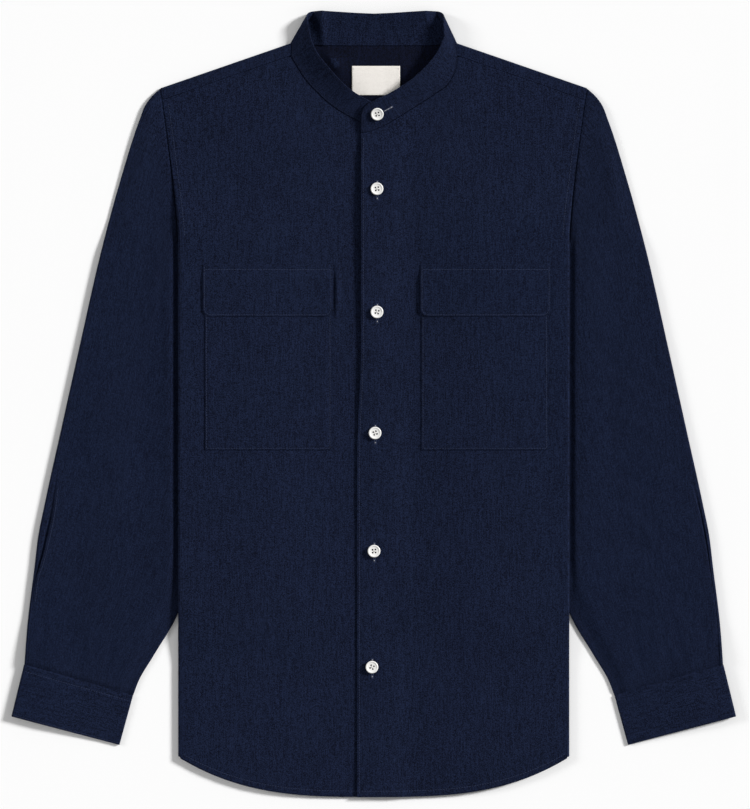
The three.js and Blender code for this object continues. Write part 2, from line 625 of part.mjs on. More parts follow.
function cuffPlace(side, w, down) {
  const at = ([x, y]) => vec(x, y, 0);
  const outer = at(CUFF_CORNERS.outerTop).lerp(at(CUFF_CORNERS.outerLow), down);
  const inner = at(CUFF_CORNERS.innerTop).lerp(at(CUFF_CORNERS.innerLow), down);
  const point = outer.lerp(inner, w / CUFF_WIDTH);
  return vec(side * point.x, point.y, 0);
}

function cuff(side) {
  const path = cuffPath();
  const rows = [0, 0.5, 1].map((down) => path.map(({ w, z }) => {
    const place = cuffPlace(side, w, down);
    return vec(place.x, place.y, z);
  }));
  return wall(rows, CUFF);
}

// A patch that lies on a front: the front's own points, moved out along its normals
function onFront(height, side, x, y, out) {
  const step = 0.5;
  const slope = (height(x + step, y) - height(x - step, y)) / (2 * step);
  const normal = vec(-slope, 0, 1).normalize();
  return vec(side * (x + normal.x * out), y, height(x, y) + normal.z * out);
}
const patchColumns = ({ inner, outer }) => [inner, ...PATCH_COLUMNS, outer];

function pocket(edges, side, height) {
  const rows = [POCKET_TOP_Y, 40, POCKET_LOW_Y].map((y) =>
    patchColumns(edges).map((x) => onFront(height, side, x, y, PATCH)));
  return wall(rows, CLOTH);
}

function pocketFlap(edges, side, height) {
  const middle = (edges.inner + edges.outer) / 2;
  const half = (edges.outer - edges.inner) / 2;
  const rows = FLAP_ROWS.map((row) => patchColumns(edges).map((column) => {
    const x = middle + (column - middle) * (1 - row.inset / half);
    const nearCentre = clamp01(1 - (column - edges.inner) / (2 * half * FLAP_LIFT_SHARE));
    return onFront(height, side, x, row.y, row.out + FLAP_LIFT * row.lift * nearCentre ** 2);
  }));
  return wall(rows, CLOTH);
}

// A button with a rim and four thread holes, its back on z = 0
function buttonGeometry() {
  const profile = [[0, 0], [5.0, 0], [BUTTON_RADIUS, 1.1], [6.0, BUTTON_HEIGHT], [5.1, BUTTON_HEIGHT],
    [4.3, BUTTON_FACE], [0, BUTTON_FACE]].map(([r, z]) => new THREE.Vector2(r, z));
  const body = new THREE.LatheGeometry(profile, BUTTON_SIDES);
  body.rotateX(Math.PI / 2);
  let solid = toManifold(body);
  for (const [sx, sy] of [[1, 1], [1, -1], [-1, 1], [-1, -1]]) {
    const hole = new THREE.CylinderGeometry(HOLE_RADIUS, HOLE_RADIUS, 3 * BUTTON_HEIGHT, 6);
    hole.rotateX(Math.PI / 2);
    hole.translate(sx * HOLE_OFFSET, sy * HOLE_OFFSET, 0);
    solid = solid.subtract(toManifold(hole));
  }
  const mesh = solid.getMesh();
  return facingOut(Array.from(mesh.vertProperties), Array.from(mesh.triVerts));
}

function toManifold(geometry) {
  const bare = geometry.clone();
  bare.deleteAttribute('normal');
  bare.deleteAttribute('uv');
  const merged = mergeVertices(bare, 1e-4);
  const vertProperties = new Float32Array(merged.attributes.position.array);
  const corners = Array.from(merged.index.array);
  const triVerts = [];
  for (let i = 0; i < corners.length; i += 3) {
    const [a, b, c] = corners.slice(i, i + 3);
    if (a !== b && b !== c && a !== c) triVerts.push(a, b, c);
  }
  const mesh = new wasm.Mesh({ numProp: 3, vertProperties, triVerts: new Uint32Array(triVerts) });
  return new wasm.Manifold(mesh);
}

// Pieces of the body
add('front_right', frontPanel(UNDER_NECKLINE, -1, underZ, 0), SHIRTING);
add('front_left', frontPanel(OVER_NECKLINE, 1, overZ, EDGE_SWING), SHIRTING);
add('back', backPanel(), SHIRTING);
add('yoke', yoke(), SHIRTING);
add('collar_band', collarBand(), SHIRTING);

// Sleeves and cuffs, named for the wearer's side
for (const [name, side, vent] of [['right', -1, VENT_RIGHT], ['left', 1, VENT_LEFT]]) {
  add(`sleeve_${name}`, sleeve(side, vent), SHIRTING);
  add(`cuff_${name}`, cuff(side), SHIRTING);
}

// Pockets and their flaps
add('pocket_right', pocket(POCKET_RIGHT, -1, underZ), SHIRTING);
add('pocket_left', pocket(POCKET_LEFT, 1, overZ), SHIRTING);
add('pocket_flap_right', pocketFlap(FLAP_RIGHT, -1, underZ), SHIRTING);
add('pocket_flap_left', pocketFlap(FLAP_LEFT, 1, overZ), SHIRTING);

// Buttons: one on the band, five down the front, one under each cuff
const buttonShape = buttonGeometry();
const collarButton = add('button_collar', buttonShape, BUTTON);
const overEnd = STATIONS.length - 1 - COLLAR_BUTTON.station;
const seat = bandPoint(overEnd, COLLAR_BUTTON.across);
const beforeSeat = bandPoint(overEnd + 0.2, COLLAR_BUTTON.across);
const alongBand = bandPoint(overEnd - 0.2, COLLAR_BUTTON.across).sub(beforeSeat);
const acrossBand = bandPoint(overEnd, 0.8).sub(bandPoint(overEnd, 0.2));
const bandNormal = alongBand.cross(acrossBand).normalize();
if (bandNormal.z < 0) bandNormal.negate();
collarButton.position.copy(seat).addScaledVector(bandNormal, BAND / 2 + BUTTON_GAP + 0.1);
collarButton.quaternion.setFromUnitVectors(vec(0, 0, 1), bandNormal);
FRONT_BUTTONS.forEach(({ x, y }, i) => {
  const button = add(`button_front_${i + 1}`, buttonShape, BUTTON);
  const highest = Math.max(overZ(x, y - BUTTON_RADIUS), overZ(x, y + BUTTON_RADIUS));
  button.position.set(x, y, highest + HALF + BUTTON_GAP);
});
for (const [name, side] of [['right', -1], ['left', 1]]) {
  const button = add(`button_cuff_${name}`, buttonShape, BUTTON);
  const place = cuffPlace(side, CUFF_BUTTON_W, 0.5);
  button.scale.setScalar(CUFF_BUTTON_SCALE);
  button.rotation.x = Math.PI;
  button.position.set(place.x, place.y, CUFF_BUTTON_SCALE * BUTTON_HEIGHT);
}

// Label
const labelShape = new THREE.BoxGeometry(LABEL.width, LABEL.height, LABEL.thickness);
const label = add('neck_label', labelShape, LABEL_CLOTH);
label.position.set(LABEL.x, LABEL.y, CLOTH + 0.3 + LABEL.thickness / 2);

export default shirt;
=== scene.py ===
"""A mandarin collar shirt laid flat on a pale table: its cloth, thread, buttons and label.

The shapes repeat the solids' sizes and formulas, finer and in thinner cloth, and add its creases,
vents and sewing. Sizes are millimetres until a mesh is made. x runs outward from the middle of
the shirt, and a side of 1 or -1 turns it to the wearer's left or right. y runs to the collar.
"""

import math

import bpy
import numpy as np
from mathutils import Matrix, Vector


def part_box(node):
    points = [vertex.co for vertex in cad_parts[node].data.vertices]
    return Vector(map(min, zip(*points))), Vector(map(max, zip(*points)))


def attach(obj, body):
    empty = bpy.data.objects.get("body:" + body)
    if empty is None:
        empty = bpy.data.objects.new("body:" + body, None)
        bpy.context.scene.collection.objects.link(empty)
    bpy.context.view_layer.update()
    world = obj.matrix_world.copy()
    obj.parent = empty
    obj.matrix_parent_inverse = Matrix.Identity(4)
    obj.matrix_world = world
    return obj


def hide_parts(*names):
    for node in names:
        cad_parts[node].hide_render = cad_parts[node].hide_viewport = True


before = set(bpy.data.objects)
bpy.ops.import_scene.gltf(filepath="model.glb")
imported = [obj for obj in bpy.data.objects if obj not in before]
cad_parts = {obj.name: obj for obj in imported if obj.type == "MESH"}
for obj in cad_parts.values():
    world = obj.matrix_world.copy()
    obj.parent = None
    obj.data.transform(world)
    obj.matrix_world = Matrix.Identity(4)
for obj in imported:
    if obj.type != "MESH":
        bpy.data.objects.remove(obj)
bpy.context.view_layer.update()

MM = 0.001

# Cloth
CLOTH = 1.0
HALF = CLOTH / 2
PLY = 1.4
AIR = 2.7
SEAM_GAP = 0.4
ALLOWANCE = 1.3  # cloth that carries on under the next piece at a seam
TUCKED_IN = 0.75  # and lies this much lower
PATCH = 0.8  # from the middle of a panel to the middle of a patch, closer than the solids' plies
SHIRTING = 0.62  # thickness of one ply as it shows
RIM = 0.35  # a free edge is rounded over this width
RIM_SHARE = 0.45  # and is this share as thick
BETWEEN_NOISE = 0.4  # each piece takes its noise between two whole steps, where it is strong

# Body
SIDE_X = 197.7
SWELL_X = 30
RISE_X = 95
TUCK_X = 122
LIFT_Y = 241
TUCK_Y = 166
UNDERARM_Y = 60
EXIT_Y = -221
LOW_Y = -264
HEM_Y = -397
HEM_RISE = 40.4
HEM_SLOPE = 0.61
HEM_EASE = 0.0025
BACK_SHORT = 1.5
FRONT_FOLD = 1.5 * PLY
BACK_FOLD = 0.5 * PLY
TUCK_LEAST = 6
TUCK_CUT = 73
TURN_CUT = 3

# Shoulders and yoke
NECK_X = 85.8
NECK_Y = 364
SHOULDER_FALL = 0.3457
TIP_X = 215.4
TIP_Y = 319.2
ARMHOLE_BEND = 1.35
STRIP = 12.5
YOKE_Y = 271.7
BACK_NECK_Y = 361.5

# Front overlap
OVER_EDGE_X = 18
OVER_END_X = 45
OVER_RISE = 2.0
EDGE_LIFT = 1.2
EDGE_LIFT_Y = (285, 235, 30, -60)  # where the lift starts, is full, fades and ends
UNDER_DIP = 0.4
UNDER_DIP_X = (20, 50)
EDGE_SWING = -4  # the left front's edge moves this far sideways over its lower half
SWING_Y = (60, -60)
SWING_REACH = 60  # and the cloth this far in from the edge moves with it
CREASED_X = (184, 196)  # creases die out towards the side fold
UNDER_CREASED_X = (-6, 22)  # and, on the right front, below the left one


def table(names, rows):
    """Columns by name, from rows of numbers."""
    return {name: np.array(values, float) for name, values in zip(names.split(), zip(*rows))}


NECKLINE = "down x y topX topY topZ"
OVER_NECKLINE = table(NECKLINE, [
    (-12.9, -12.9, 273.7, -12.5, 291.9, 8.2),
    (3.0, -3.0, 275.3, -8.5, 300.5, 10.0),
    (18.0, 13.4, 282.4, 2.0, 307.0, 11.5),
    (31.0, 29.5, 292.1, 16.3, 313.8, 12.5),
    (45.0, 52.2, 306.5, 36.1, 325.9, 13.0),
    (60.0, 64.0, 314.6, 44.0, 332.8, 13.0),
    (74.0, 74.8, 322.7, 52.2, 340.4, 13.0),
    (85.0, 82.8, 337.3, 64.0, 355.0, 13.0),
    (95.0, 84.6, 350.6, 71.0, 371.0, 13.0),
])
UNDER_NECKLINE = table(NECKLINE, [
    (-17.2, -17.2, 275.5, -19.0, 297.0, 4.6),
    (-3.0, -3.0, 277.8, -9.0, 302.0, 5.8),
    (13.5, 13.9, 284.8, 1.8, 305.0, 7.5),
    (30.0, 31.6, 293.9, 17.5, 313.3, 9.5),
    (45.0, 47.2, 305.0, 29.5, 322.3, 11.5),
    (60.0, 60.3, 317.6, 39.5, 332.8, 12.5),
    (74.0, 70.4, 329.3, 49.5, 344.5, 13.0),
    (85.0, 77.5, 340.4, 57.3, 354.9, 13.0),
    (95.0, 83.6, 350.6, 63.4, 369.0, 13.0),
])

# Band
BAND = 1.6
BAND_SHOWN = 1.3
BAND_BACK_TOP_Z = 2.6
BAND_CURL = 1.35
BAND_ARCH = 4.6  # the top of the band's back bows up this far between the folds
ARCH_RIGHT_X = (70, 62)  # and falls to its height at each fold between these
ARCH_LEFT_X = (72, 64)
BAND_BACK = table("x seamY topX topY", [
    (66, 362.6, 53, 397.0), (42, 362.1, 38, 396.1), (20, 362.0, 18, 394.8), (0, 362.0, 0, 394.0),
])
BAND_SEAM_OUT = (84.3, NECK_Y + 0.6)
BAND_FOLD = table("turn x y z", [
    (90, 67.0, 388.6, 12.6), (45, 67.2, 391.6, 10.6), (0, 65.8, 394.4, 7.8), (-45, 63.0, 396.0, 5.0),
    (-90, 59.4, 396.7, 3.2),
])
OVER_FOLD_OUT = 3

# Sleeve
SLEEVE_OUTER = table("x y", [
    (216.3, 318.3), (224.3, 311), (230.3, 303), (236.8, 286.8), (254.5, 231.3), (275.2, 155.5),
    (295.9, 64.6), (316.1, -26.3), (332.8, -102), (338.9, -132.3), (342.6, -162.6), (350, -223.2),
    (352.9, -262.4),
])
SLEEVE_INNER = table("x y", [
    (124, 60), (150, -60), (180, -160), (201, -219), (221.7, -253.5), (237.6, -280.5), (242.7, -293.9),
])
SLEEVE_LOFT = 2.2
WRIST_LIFT = 3.1  # the under ply climbs over the button and the cuff's end at the wrist
WRIST_SWELL = 2.2  # and lifts the top ply
LOFT_FROM_X = 212
LOFT_FULL_X = 245
BESIDE_X = (199.2, 204.6)  # where a sleeve steps up beside the body
BESIDE_RISE = 2.6
BESIDE_Y = (190, 150)
SHOULDER_LOFT = 1.3
SHOULDER_LOFT_Y = (190, 300)
GRAIN_ROW = 90  # the sleeve's grain is measured round it along this row of its grid
SLEEVE_GRAIN = 600  # and down it over this length
VENT_SLOPE = table("t up", [(0.3, 0.75), (0.6, 0.35), (0.9, 0)])
VENT_STEP = 2.3
VENT_RISE = 0.9
VENT_WIDTH = 1.4
VENT_LEAST = 2.5
VENT = "y inset open"
VENT_RIGHT = table(VENT, [
    (-70, 9, 0), (-105, 12, 0.3), (-130, 11.5, 1), (-152, 8.5, 1), (-166, 5.5, 1), (-180, 3, 0.4),
    (-200, 4, 0),
])
VENT_LEFT = table(VENT, [
    (-80, 8, 0), (-112, 6.5, 0.4), (-135, 6, 1), (-160, 4.8, 1), (-184, 4, 1), (-208, 3, 0.6), (-232, 3, 0),
])
# The front side of the vent doubles back under itself: in from the vent line, and up its step
VENT_FOLD = table("inward up", [
    (2.6, 0), (3.0, 0.06), (3.2, 0.27), (3.0, 0.48), (2.6, 0.54), (1.4, 0.54), (0.2, 0.55), (-0.12, 0.61),
    (-0.26, 0.77), (-0.12, 0.94), (0.2, 1),
])

# Cuff
CUFF = 1.2
CUFF_SHOWN = 1.0
CUFF_OUTER = ((353.2, -262.9), (366, -315.4))
CUFF_INNER = ((243.1, -294.4), (256.8, -344.4))
CUFF_WIDTH = 114.5
CUFF_TOP_Z = 6.0
CUFF_FLAP_Z = 2.9
CUFF_INNER_Z = 4.4
CUFF_FLAT_Z = 2.2
CUFF_FLAP = 34
CUFF_SLOPE = (37, 56)

# Pockets and flaps
POCKET_TOP_Y = 127
POCKET_LOW_Y = -46.3
POCKET_RIGHT = (42.7, 170.4)
POCKET_LEFT = (48.2, 176.0)
FLAP_RIGHT = (41.7, 172.5)
FLAP_LEFT = (47.2, 178.6)
FLAP_LOW_Y = 88.4
FLAP_CORNER = 8
FLAP_ROWS = table("y out lift", [
    (140.9, 0.8, 0), (135.3, 0.85, 0.15), (128.5, 1.5, 0.4), (112, 1.55, 0.85), (97, 1.55, 1),
    (88.4, 1.45, 0.9),
])
FLAP_LIFT = 1.2
FLAP_LIFT_SHARE = 0.3

# Buttons
BUTTON_HEIGHT = 2.3
COLLAR_HOLE = (1.5, 16.5)  # how far the collar's buttonhole runs from its button
CUFF_BUTTON_SCALE = 0.86

# Sewing: how far rows of stitches lie from the edge they follow
EDGE_STITCH = 1.6
FRONT_STITCH = 2.4
HEM_STITCH = 6.0
ARMHOLE_STITCH = 5.4
CUFF_SEAM_STITCH = 6.5
FLAP_TOP_STITCH = 5.2
STITCH = 2.1
STITCH_GAP = 0.55
THREAD = 0.21
GROOVE = (-0.9, -0.4, 0, 0.4, 0.9)  # grid lines beside a row of stitches, for the groove it lies in
FINE_GROOVE = (-0.7, 0, 0.7)

# Creases, each a soft ridge or trough from one point to another. bow bends its middle sideways.
CREASE = "x y toX toY bow width height"
OVER_CREASES = table(CREASE, [
    (-9, 262, -10, 104, 1, 9, 0.7), (-12, 112, -15, -150, 0, 10, -0.75),
    (-15, -70, -17, -300, 0, 19, -0.9), (-17, -240, -17, -396, 0, 17, -0.85),
    (30, 268, 28, 130, 2, 16, -1.1), (30, 186, 15, -30, 1, 14, -2.3), (30, 0, 28, -190, -2, 17, -1.0),
    (18, -150, 16, -262, 0, 15, -2.3), (30, -230, 32, -396, 1, 17, -1.1), (5, 208, 31, 186, -3, 4, -0.8),
    (-6, 280, 24, 277, 2, 3, -0.5), (2, 209, 12, 170, 3, 4.5, -0.45), (8, 222, 44, 236, 3, 6, -0.35),
    (4, 84, 30, 52, -4, 6, -0.3), (30, 262, 96, 243, 5, 16, 0.5), (60, 300, 122, 236, -8, 12, -0.35),
    (66, 62, 132, -70, 14, 14, -0.35), (148.2, 84, 149, -8, 0, 1.3, 0.16),
    (130, 60, 124, -30, 5, 9, -0.25), (178, -34.5, 197, -35, 0, 1.4, -0.22),
    (28, -96, 104, -150, 10, 13, -0.35), (150, -60, 186, -190, -9, 15, 0.35),
    (40, -190, 66, -330, 8, 14, 0.4), (110, -210, 132, -352, -8, 12, -0.35),
    (18, -300, 30, -388, 3, 9, -0.4), (150, 232, 194, 176, 6, 10, -0.4),
    (132, 262, 186, 226, -6, 14, 0.4), (172, 176, 174, -216, 0, 16, -0.8),
])
UNDER_CREASES = table(CREASE, [
    (96, 326, 92, 184, 0, 52, 3.4), (100, 290, 140, 220, -8, 13, -0.35), (24, 262, 20, 150, -3, 10, -0.4),
    (150, 236, 194, 182, 6, 10, -0.45), (128, 270, 184, 232, -5, 14, 0.35),
    (72, 74, 118, -30, 9, 12, -0.3), (132, 96, 158, 10, -5, 8, -0.28), (34, -64, 92, -140, -8, 14, -0.35),
    (152, -50, 184, -176, 8, 15, 0.35), (30, -150, 52, -300, 7, 14, 0.4),
    (104, -196, 120, -350, 6, 13, -0.35), (164, -230, 158, -350, -6, 12, 0.3),
    (20, -40, 24, -170, 4, 8, -0.3), (37.4, 146, 37.6, 82, 0.8, 2.6, 1.5),
    (40.4, 144, 40.4, 84, 0, 1.2, -0.5),
])
# These two, of the band and of the yoke's back, have x to the wearer's left on both sides
BAND_CREASES = table(CREASE, [(-50, 358, -57, 424, 0, 5, 3.4)])
YOKE_CREASES = table(CREASE, [(-52, 359, -29, 331, 0, 6, 2.4)])
BACK_CREASES = table(CREASE, [
    (18, 240, 60, 60, 8, 14, 0.35), (-40, 170, -74, -20, -9, 15, 0.4), (52, -60, 30, -300, 8, 16, 0.35),
    (-24, -120, -62, -330, 10, 14, 0.4),
])
SLEEVE_CREASES = [
    (226, 262, 262, 118, 6, 11, -0.5), (216, 196, 236, 60, 5, 9, 0.45), (222, 60, 284, 20, 6, 8, -0.45),
    (240, -12, 296, -46, -6, 7, 0.4), (232, -62, 318, -92, 7, 8, -0.5), (250, -104, 300, -176, -6, 9, 0.45),
    (278, -150, 330, -216, 6, 9, -0.45), (262, -210, 276, -282, 3, 6, -0.5),
    (300, -214, 312, -272, -3, 6, -0.5),
    (286, -226, 292, -276, 2, 5, 0.4), (330, -214, 338, -262, -2, 5, -0.4),
]
# Beside the body one sleeve lies in a hollow, and the other swells up to it
RIGHT_CREASES = table(CREASE, [*SLEEVE_CREASES, (224, 214, 234, -236, 0, 24, -2.3)])
LEFT_CREASES = table(CREASE, [*SLEEVE_CREASES, (214, 200, 222, -200, 0, 24, 0.9)])


# Small helpers
def lerp(a, b, t):
    return a + (b - a) * t


def ramp(value, start, end):
    t = np.clip((value - start) / (end - start), 0, 1)
    return t * t * (3 - 2 * t)


def bell(away, width):
    """1 in the middle, falling away to both sides."""
    return np.exp(-((away / width) ** 2))


def curve(knots, values, at):
    """A smooth curve through the values at the knots, which rise."""
    knots, values, at = (np.asarray(v, float) for v in (knots, values, at))
    i = np.clip(np.searchsorted(knots, at, side="right") - 1, 0, len(knots) - 2)
    width = knots[i + 1] - knots[i]
    t = (at - knots[i]) / width
    slopes = np.gradient(values, knots)
    start = (1 + 2 * t) * (1 - t) ** 2 * values[i] + t * (1 - t) ** 2 * width * slopes[i]
    return start + t**2 * (3 - 2 * t) * values[i + 1] + t**2 * (t - 1) * width * slopes[i + 1]


def spaced(start, end, step, close=(), rims=(True, True)):
    """Values from start to end about step apart, the close ones as well, and one beside each rim."""
    whole = np.linspace(start, end, max(2, round(abs(end - start) / step) + 1))
    sign = 1 if end > start else -1
    extra = [start + sign * RIM] * rims[0] + [end - sign * RIM] * rims[1] + list(close)
    low, high = min(start, end), max(start, end)
    least = 0.12 * step if step > 1 else 0.1
    kept = [v for v in whole if v in (start, end) or all(abs(v - e) > least for e in extra)]
    values = np.unique([v for v in [*kept, *extra] if low <= v <= high])
    return values if sign > 0 else values[::-1]


def beside(*places, reach=(-1.1, -0.5, 0, 0.5, 1.1)):
    """Values close to each place, for a groove there."""
    return [place + r for place in places for r in reach]


def distances(points):
    """How far along a line of points each one lies."""
    return np.concatenate([[0], np.cumsum(np.linalg.norm(np.diff(points, axis=0), axis=1))])


def uneven(place, seed, longest):
    """A smooth wandering value from -1 to 1 along a line, the same for the same seed."""
    total = 0
    for i, (pace, share) in enumerate(((1, 0.5), (1.7, 0.3), (2.9, 0.2))):
        total = total + share * np.sin(2 * np.pi * pace * place / longest + seed * (1.3 + 2.1 * i))
    return total


def folded(rows, x, y):
    """The height that a table of creases adds at x, y."""
    total = np.zeros(np.broadcast(x, y).shape)
    for x0, y0, x1, y1, bow, width, height in zip(*rows.values()):
        length = math.hypot(x1 - x0, y1 - y0)
        along = ((x - x0) * (x1 - x0) + (y - y0) * (y1 - y0)) / length**2
        inside = np.clip(along, 0, 1)
        away = ((x - x0) * (y1 - y0) - (y - y0) * (x1 - x0)) / length - bow * 4 * inside * (1 - inside)
        away = away - 0.12 * width * uneven(along * length, x0 + y0, 60)
        spread = width * (0.75 + 0.35 * inside)
        total += height * np.sin(np.pi * inside) ** 0.8 * bell(away, spread)
    return total


# Heights of the middle of each panel
def tuck_rise(y):
    return ramp(y, LIFT_Y, TUCK_Y)


def plies_below(y):
    return 2 * PLY * tuck_rise(y) * (2 - ramp(y, EXIT_Y, LOW_Y))


def back_z(x, y):
    rise = ramp(np.abs(x), RISE_X, TUCK_X)
    return HALF + rise * plies_below(y) + (1 - rise) * folded(BACK_CREASES, x, y)


def front_z(x, y):
    rise = plies_below(y) - (AIR - PLY) * tuck_rise(y)
    return HALF + AIR + ramp(np.abs(x), SWELL_X, TUCK_X) * rise


def over_z(x, y):
    top, full, fade, low = EDGE_LIFT_Y
    lift = EDGE_LIFT * ramp(y, top, full) * (1 - ramp(y, fade, low))
    creases = folded(OVER_CREASES, x, y) * (1 - ramp(x, *CREASED_X))
    return front_z(x, y) + (OVER_RISE + lift) * (1 - ramp(x, OVER_EDGE_X, OVER_END_X)) + creases


def under_z(x, y):
    creases = folded(UNDER_CREASES, x, y) * (1 - ramp(x, *CREASED_X)) * ramp(x, *UNDER_CREASED_X)
    return front_z(x, y) - UNDER_DIP * (1 - ramp(x, *UNDER_DIP_X)) + creases


def armhole_x(y):
    return SIDE_X + (TIP_X - SIDE_X) * np.maximum(0, (y - TUCK_Y) / (TIP_Y - TUCK_Y)) ** ARMHOLE_BEND


def shoulder_y(x):
    return NECK_Y - SHOULDER_FALL * (x - NECK_X)


def hem_y(arc):
    past = np.maximum(0, arc - SIDE_X)
    return HEM_Y + HEM_RISE * (np.minimum(arc, SIDE_X) / SIDE_X) ** 3 + HEM_SLOPE * past - HEM_EASE * past**2


def fold_arc(radius, bend, degrees):
    """How far out and down a panel's side has turned, round an arc that straightens up the armhole."""
    turn, bend = np.radians(degrees), np.maximum(bend, 1e-3)
    return radius / bend * np.sin(bend * turn), radius / bend * (1 - np.cos(bend * turn))


def fold_start(radius, y):
    bend = tuck_rise(y)
    return armhole_x(y) - HALF * bend - (FRONT_FOLD - radius) * np.sqrt(bend) - fold_arc(radius, bend, 90)[0]


# Meshes
def add_mesh(name, points, faces, material, cloth=None, sharp=60):
    mesh = bpy.data.meshes.new(name)
    mesh.from_pydata((np.asarray(points) * MM).tolist(), [], [list(face) for face in faces])
    mesh.shade_smooth()
    mesh.set_sharp_from_angle(angle=math.radians(sharp))
    mesh.materials.append(material)
    if cloth is not None:
        attribute = mesh.attributes.new("cloth", "FLOAT_VECTOR", "POINT")
        attribute.data.foreach_set("vector", np.asarray(cloth, np.float32).ravel())
    made = bpy.data.objects.new(name, mesh)
    bpy.context.scene.collection.objects.link(made)
    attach(made, "root")
    return made


def shell(name, points, thickness, cloth, material, has=None, ring=False):
    """A closed thin sheet round a grid of middle points, rounded at its free edges."""
    rows, columns = points.shape[:2]
    left = np.arange(columns if ring else columns - 1)
    right = (left + 1) % columns
    has = np.ones((rows - 1, len(left)), bool) if has is None else has
    high, low = slice(0, rows - 1), slice(1, rows)
    corners = ((high, left), (low, left), (low, right), (high, right))
    a, b, c, d = (points[corner] for corner in corners)
    facing = np.cross(c - a, b - d) * has[..., None]
    normals, touching = np.zeros_like(points), np.zeros((rows, columns), int)
    for corner in corners:
        normals[corner] += facing
        touching[corner] += has
    normals /= np.maximum(np.linalg.norm(normals, axis=2, keepdims=True), 1e-9)
    used = touching > 0
    reach = (np.broadcast_to(thickness, used.shape) / 2 * np.where(touching == 4, 1, RIM_SHARE))[..., None]
    count = int(used.sum())
    ids = np.full(used.shape, -1)
    ids[used] = np.arange(count)
    a, b, c, d = (ids[corner] for corner in corners)
    empty = np.zeros((1, len(left)), bool)
    above, below = np.vstack([empty, has[:-1]]), np.vstack([has[1:], empty])
    before, after = np.roll(has, 1, axis=1), np.roll(has, -1, axis=1)
    if not ring:
        before[:, 0] = after[:, -1] = False
    faces = [np.stack([a, b, c, d], -1)[has], np.stack([a, d, c, b], -1)[has] + count]
    for free, p, q in ((~above, a, d), (~below, c, b), (~before, b, a), (~after, d, c)):
        faces.append(np.stack([p, q, q + count, p + count], -1)[has & free])
    faces = np.concatenate(faces)
    placed = np.concatenate([(points + normals * reach)[used], (points - normals * reach)[used]])
    p, q, r, s = (placed[faces[:, i]] for i in range(4))
    volume = (np.cross(q - p, r - p) * p).sum() + (np.cross(r - p, s - p) * p).sum()
    if volume < 0:
        faces = faces[:, ::-1]
        normals = -normals
    grain = np.stack([*np.broadcast_arrays(*cloth)], -1)[used] + (0, 0, BETWEEN_NOISE)
    made = add_mesh(name, placed, faces, material, np.concatenate([grain, grain]))
    return made, normals


def beads(name, starts, ends, normals, radius, material, arch=0.12, sides=6, cuts=5):
    """Short arched lengths of thread, each from its start to its end, as one mesh."""
    t = np.linspace(0, 1, cuts)[None, :, None]
    forward = ends - starts
    length = np.linalg.norm(forward, axis=1, keepdims=True)
    forward = forward / np.maximum(length, 1e-9)
    sideways = np.cross(forward, normals)
    sideways /= np.maximum(np.linalg.norm(sideways, axis=1, keepdims=True), 1e-9)
    upward = np.cross(sideways, forward)
    middle = starts[:, None] + (ends - starts)[:, None] * t + upward[:, None] * arch * np.sin(np.pi * t)
    width = radius * np.sqrt(np.sin(np.pi * (0.06 + 0.88 * t)))
    turn = np.linspace(0, 2 * np.pi, sides, endpoint=False)[None, None, :, None]
    round_it = sideways[:, None, None] * np.cos(turn) + upward[:, None, None] * np.sin(turn)
    points = middle[:, :, None] + width[..., None] * round_it
    count = len(starts)
    ids = np.arange(count * cuts * sides).reshape(count, cuts, sides)
    here, beyond = ids[:, :-1], ids[:, 1:]
    quads = np.stack([here, np.roll(here, -1, 2), np.roll(beyond, -1, 2), beyond], -1).reshape(-1, 4)
    caps = [*ids[:, 0, ::-1].tolist(), *ids[:, -1].tolist()]
    return add_mesh(name, points.reshape(-1, 3), [*quads.tolist(), *caps], material, sharp=80)


def stitches(name, lines, material, length=STITCH, gap=STITCH_GAP, radius=THREAD):
    """Rows of stitches along lines, each a list of points and of the normals there."""
    starts, ends, ups = [], [], []
    for points, normals in lines:
        along = distances(points)
        pitch = length + gap
        count = int((along[-1] + gap) / pitch)
        first = (np.arange(count) + 0.5) * pitch - length / 2 + (along[-1] - count * pitch) / 2
        for spot, kept in ((first, starts), (first + length, ends)):
            kept.append(np.stack([np.interp(spot, along, points[:, k]) for k in range(3)], -1))
        ups.append(np.stack([np.interp(first + length / 2, along, normals[:, k]) for k in range(3)], -1))
    return beads(name, *(np.concatenate(part) for part in (starts, ends, ups)), radius, material)


def on_surface(surface, x, y, out=0.0, side=1):
    """Points out from a surface given as a height over x and y, and the normals there."""
    x, y = np.broadcast_arrays(np.asarray(x, float), np.asarray(y, float))
    step = 0.4
    slope_x = (surface(x + step, y) - surface(x - step, y)) / (2 * step)
    slope_y = (surface(x, y + step) - surface(x, y - step)) / (2 * step)
    normals = np.stack([-slope_x, -slope_y, np.ones_like(x)], -1)
    normals /= np.linalg.norm(normals, axis=-1, keepdims=True)
    points = np.stack([x, y, surface(x, y)], -1) + normals * out
    turned = np.array([side, 1, 1])
    return points * turned, normals * turned


def on_grid(points, normals, rows, columns, out):
    """A line of points out from a grid, at fractional rows and columns, and the normals there."""
    rows, columns = np.broadcast_arrays(np.asarray(rows, float), np.asarray(columns, float))
    i = np.clip(rows.astype(int), 0, points.shape[0] - 2)
    j = np.clip(columns.astype(int), 0, points.shape[1] - 2)
    s, t = (rows - i)[:, None], (columns - j)[:, None]

    def read(grid):
        return lerp(lerp(grid[i, j], grid[i, j + 1], t), lerp(grid[i + 1, j], grid[i + 1, j + 1], t), s)

    facing = read(normals)
    facing /= np.linalg.norm(facing, axis=1, keepdims=True)
    return read(points) + facing * out, facing


def path(corners, step=0.8):
    """A list of corners as points step apart."""
    corners = np.array(corners, float)
    along = distances(corners)
    at = np.linspace(0, along[-1], max(2, round(along[-1] / step) + 1))
    return np.interp(at, along, corners[:, 0]), np.interp(at, along, corners[:, 1])


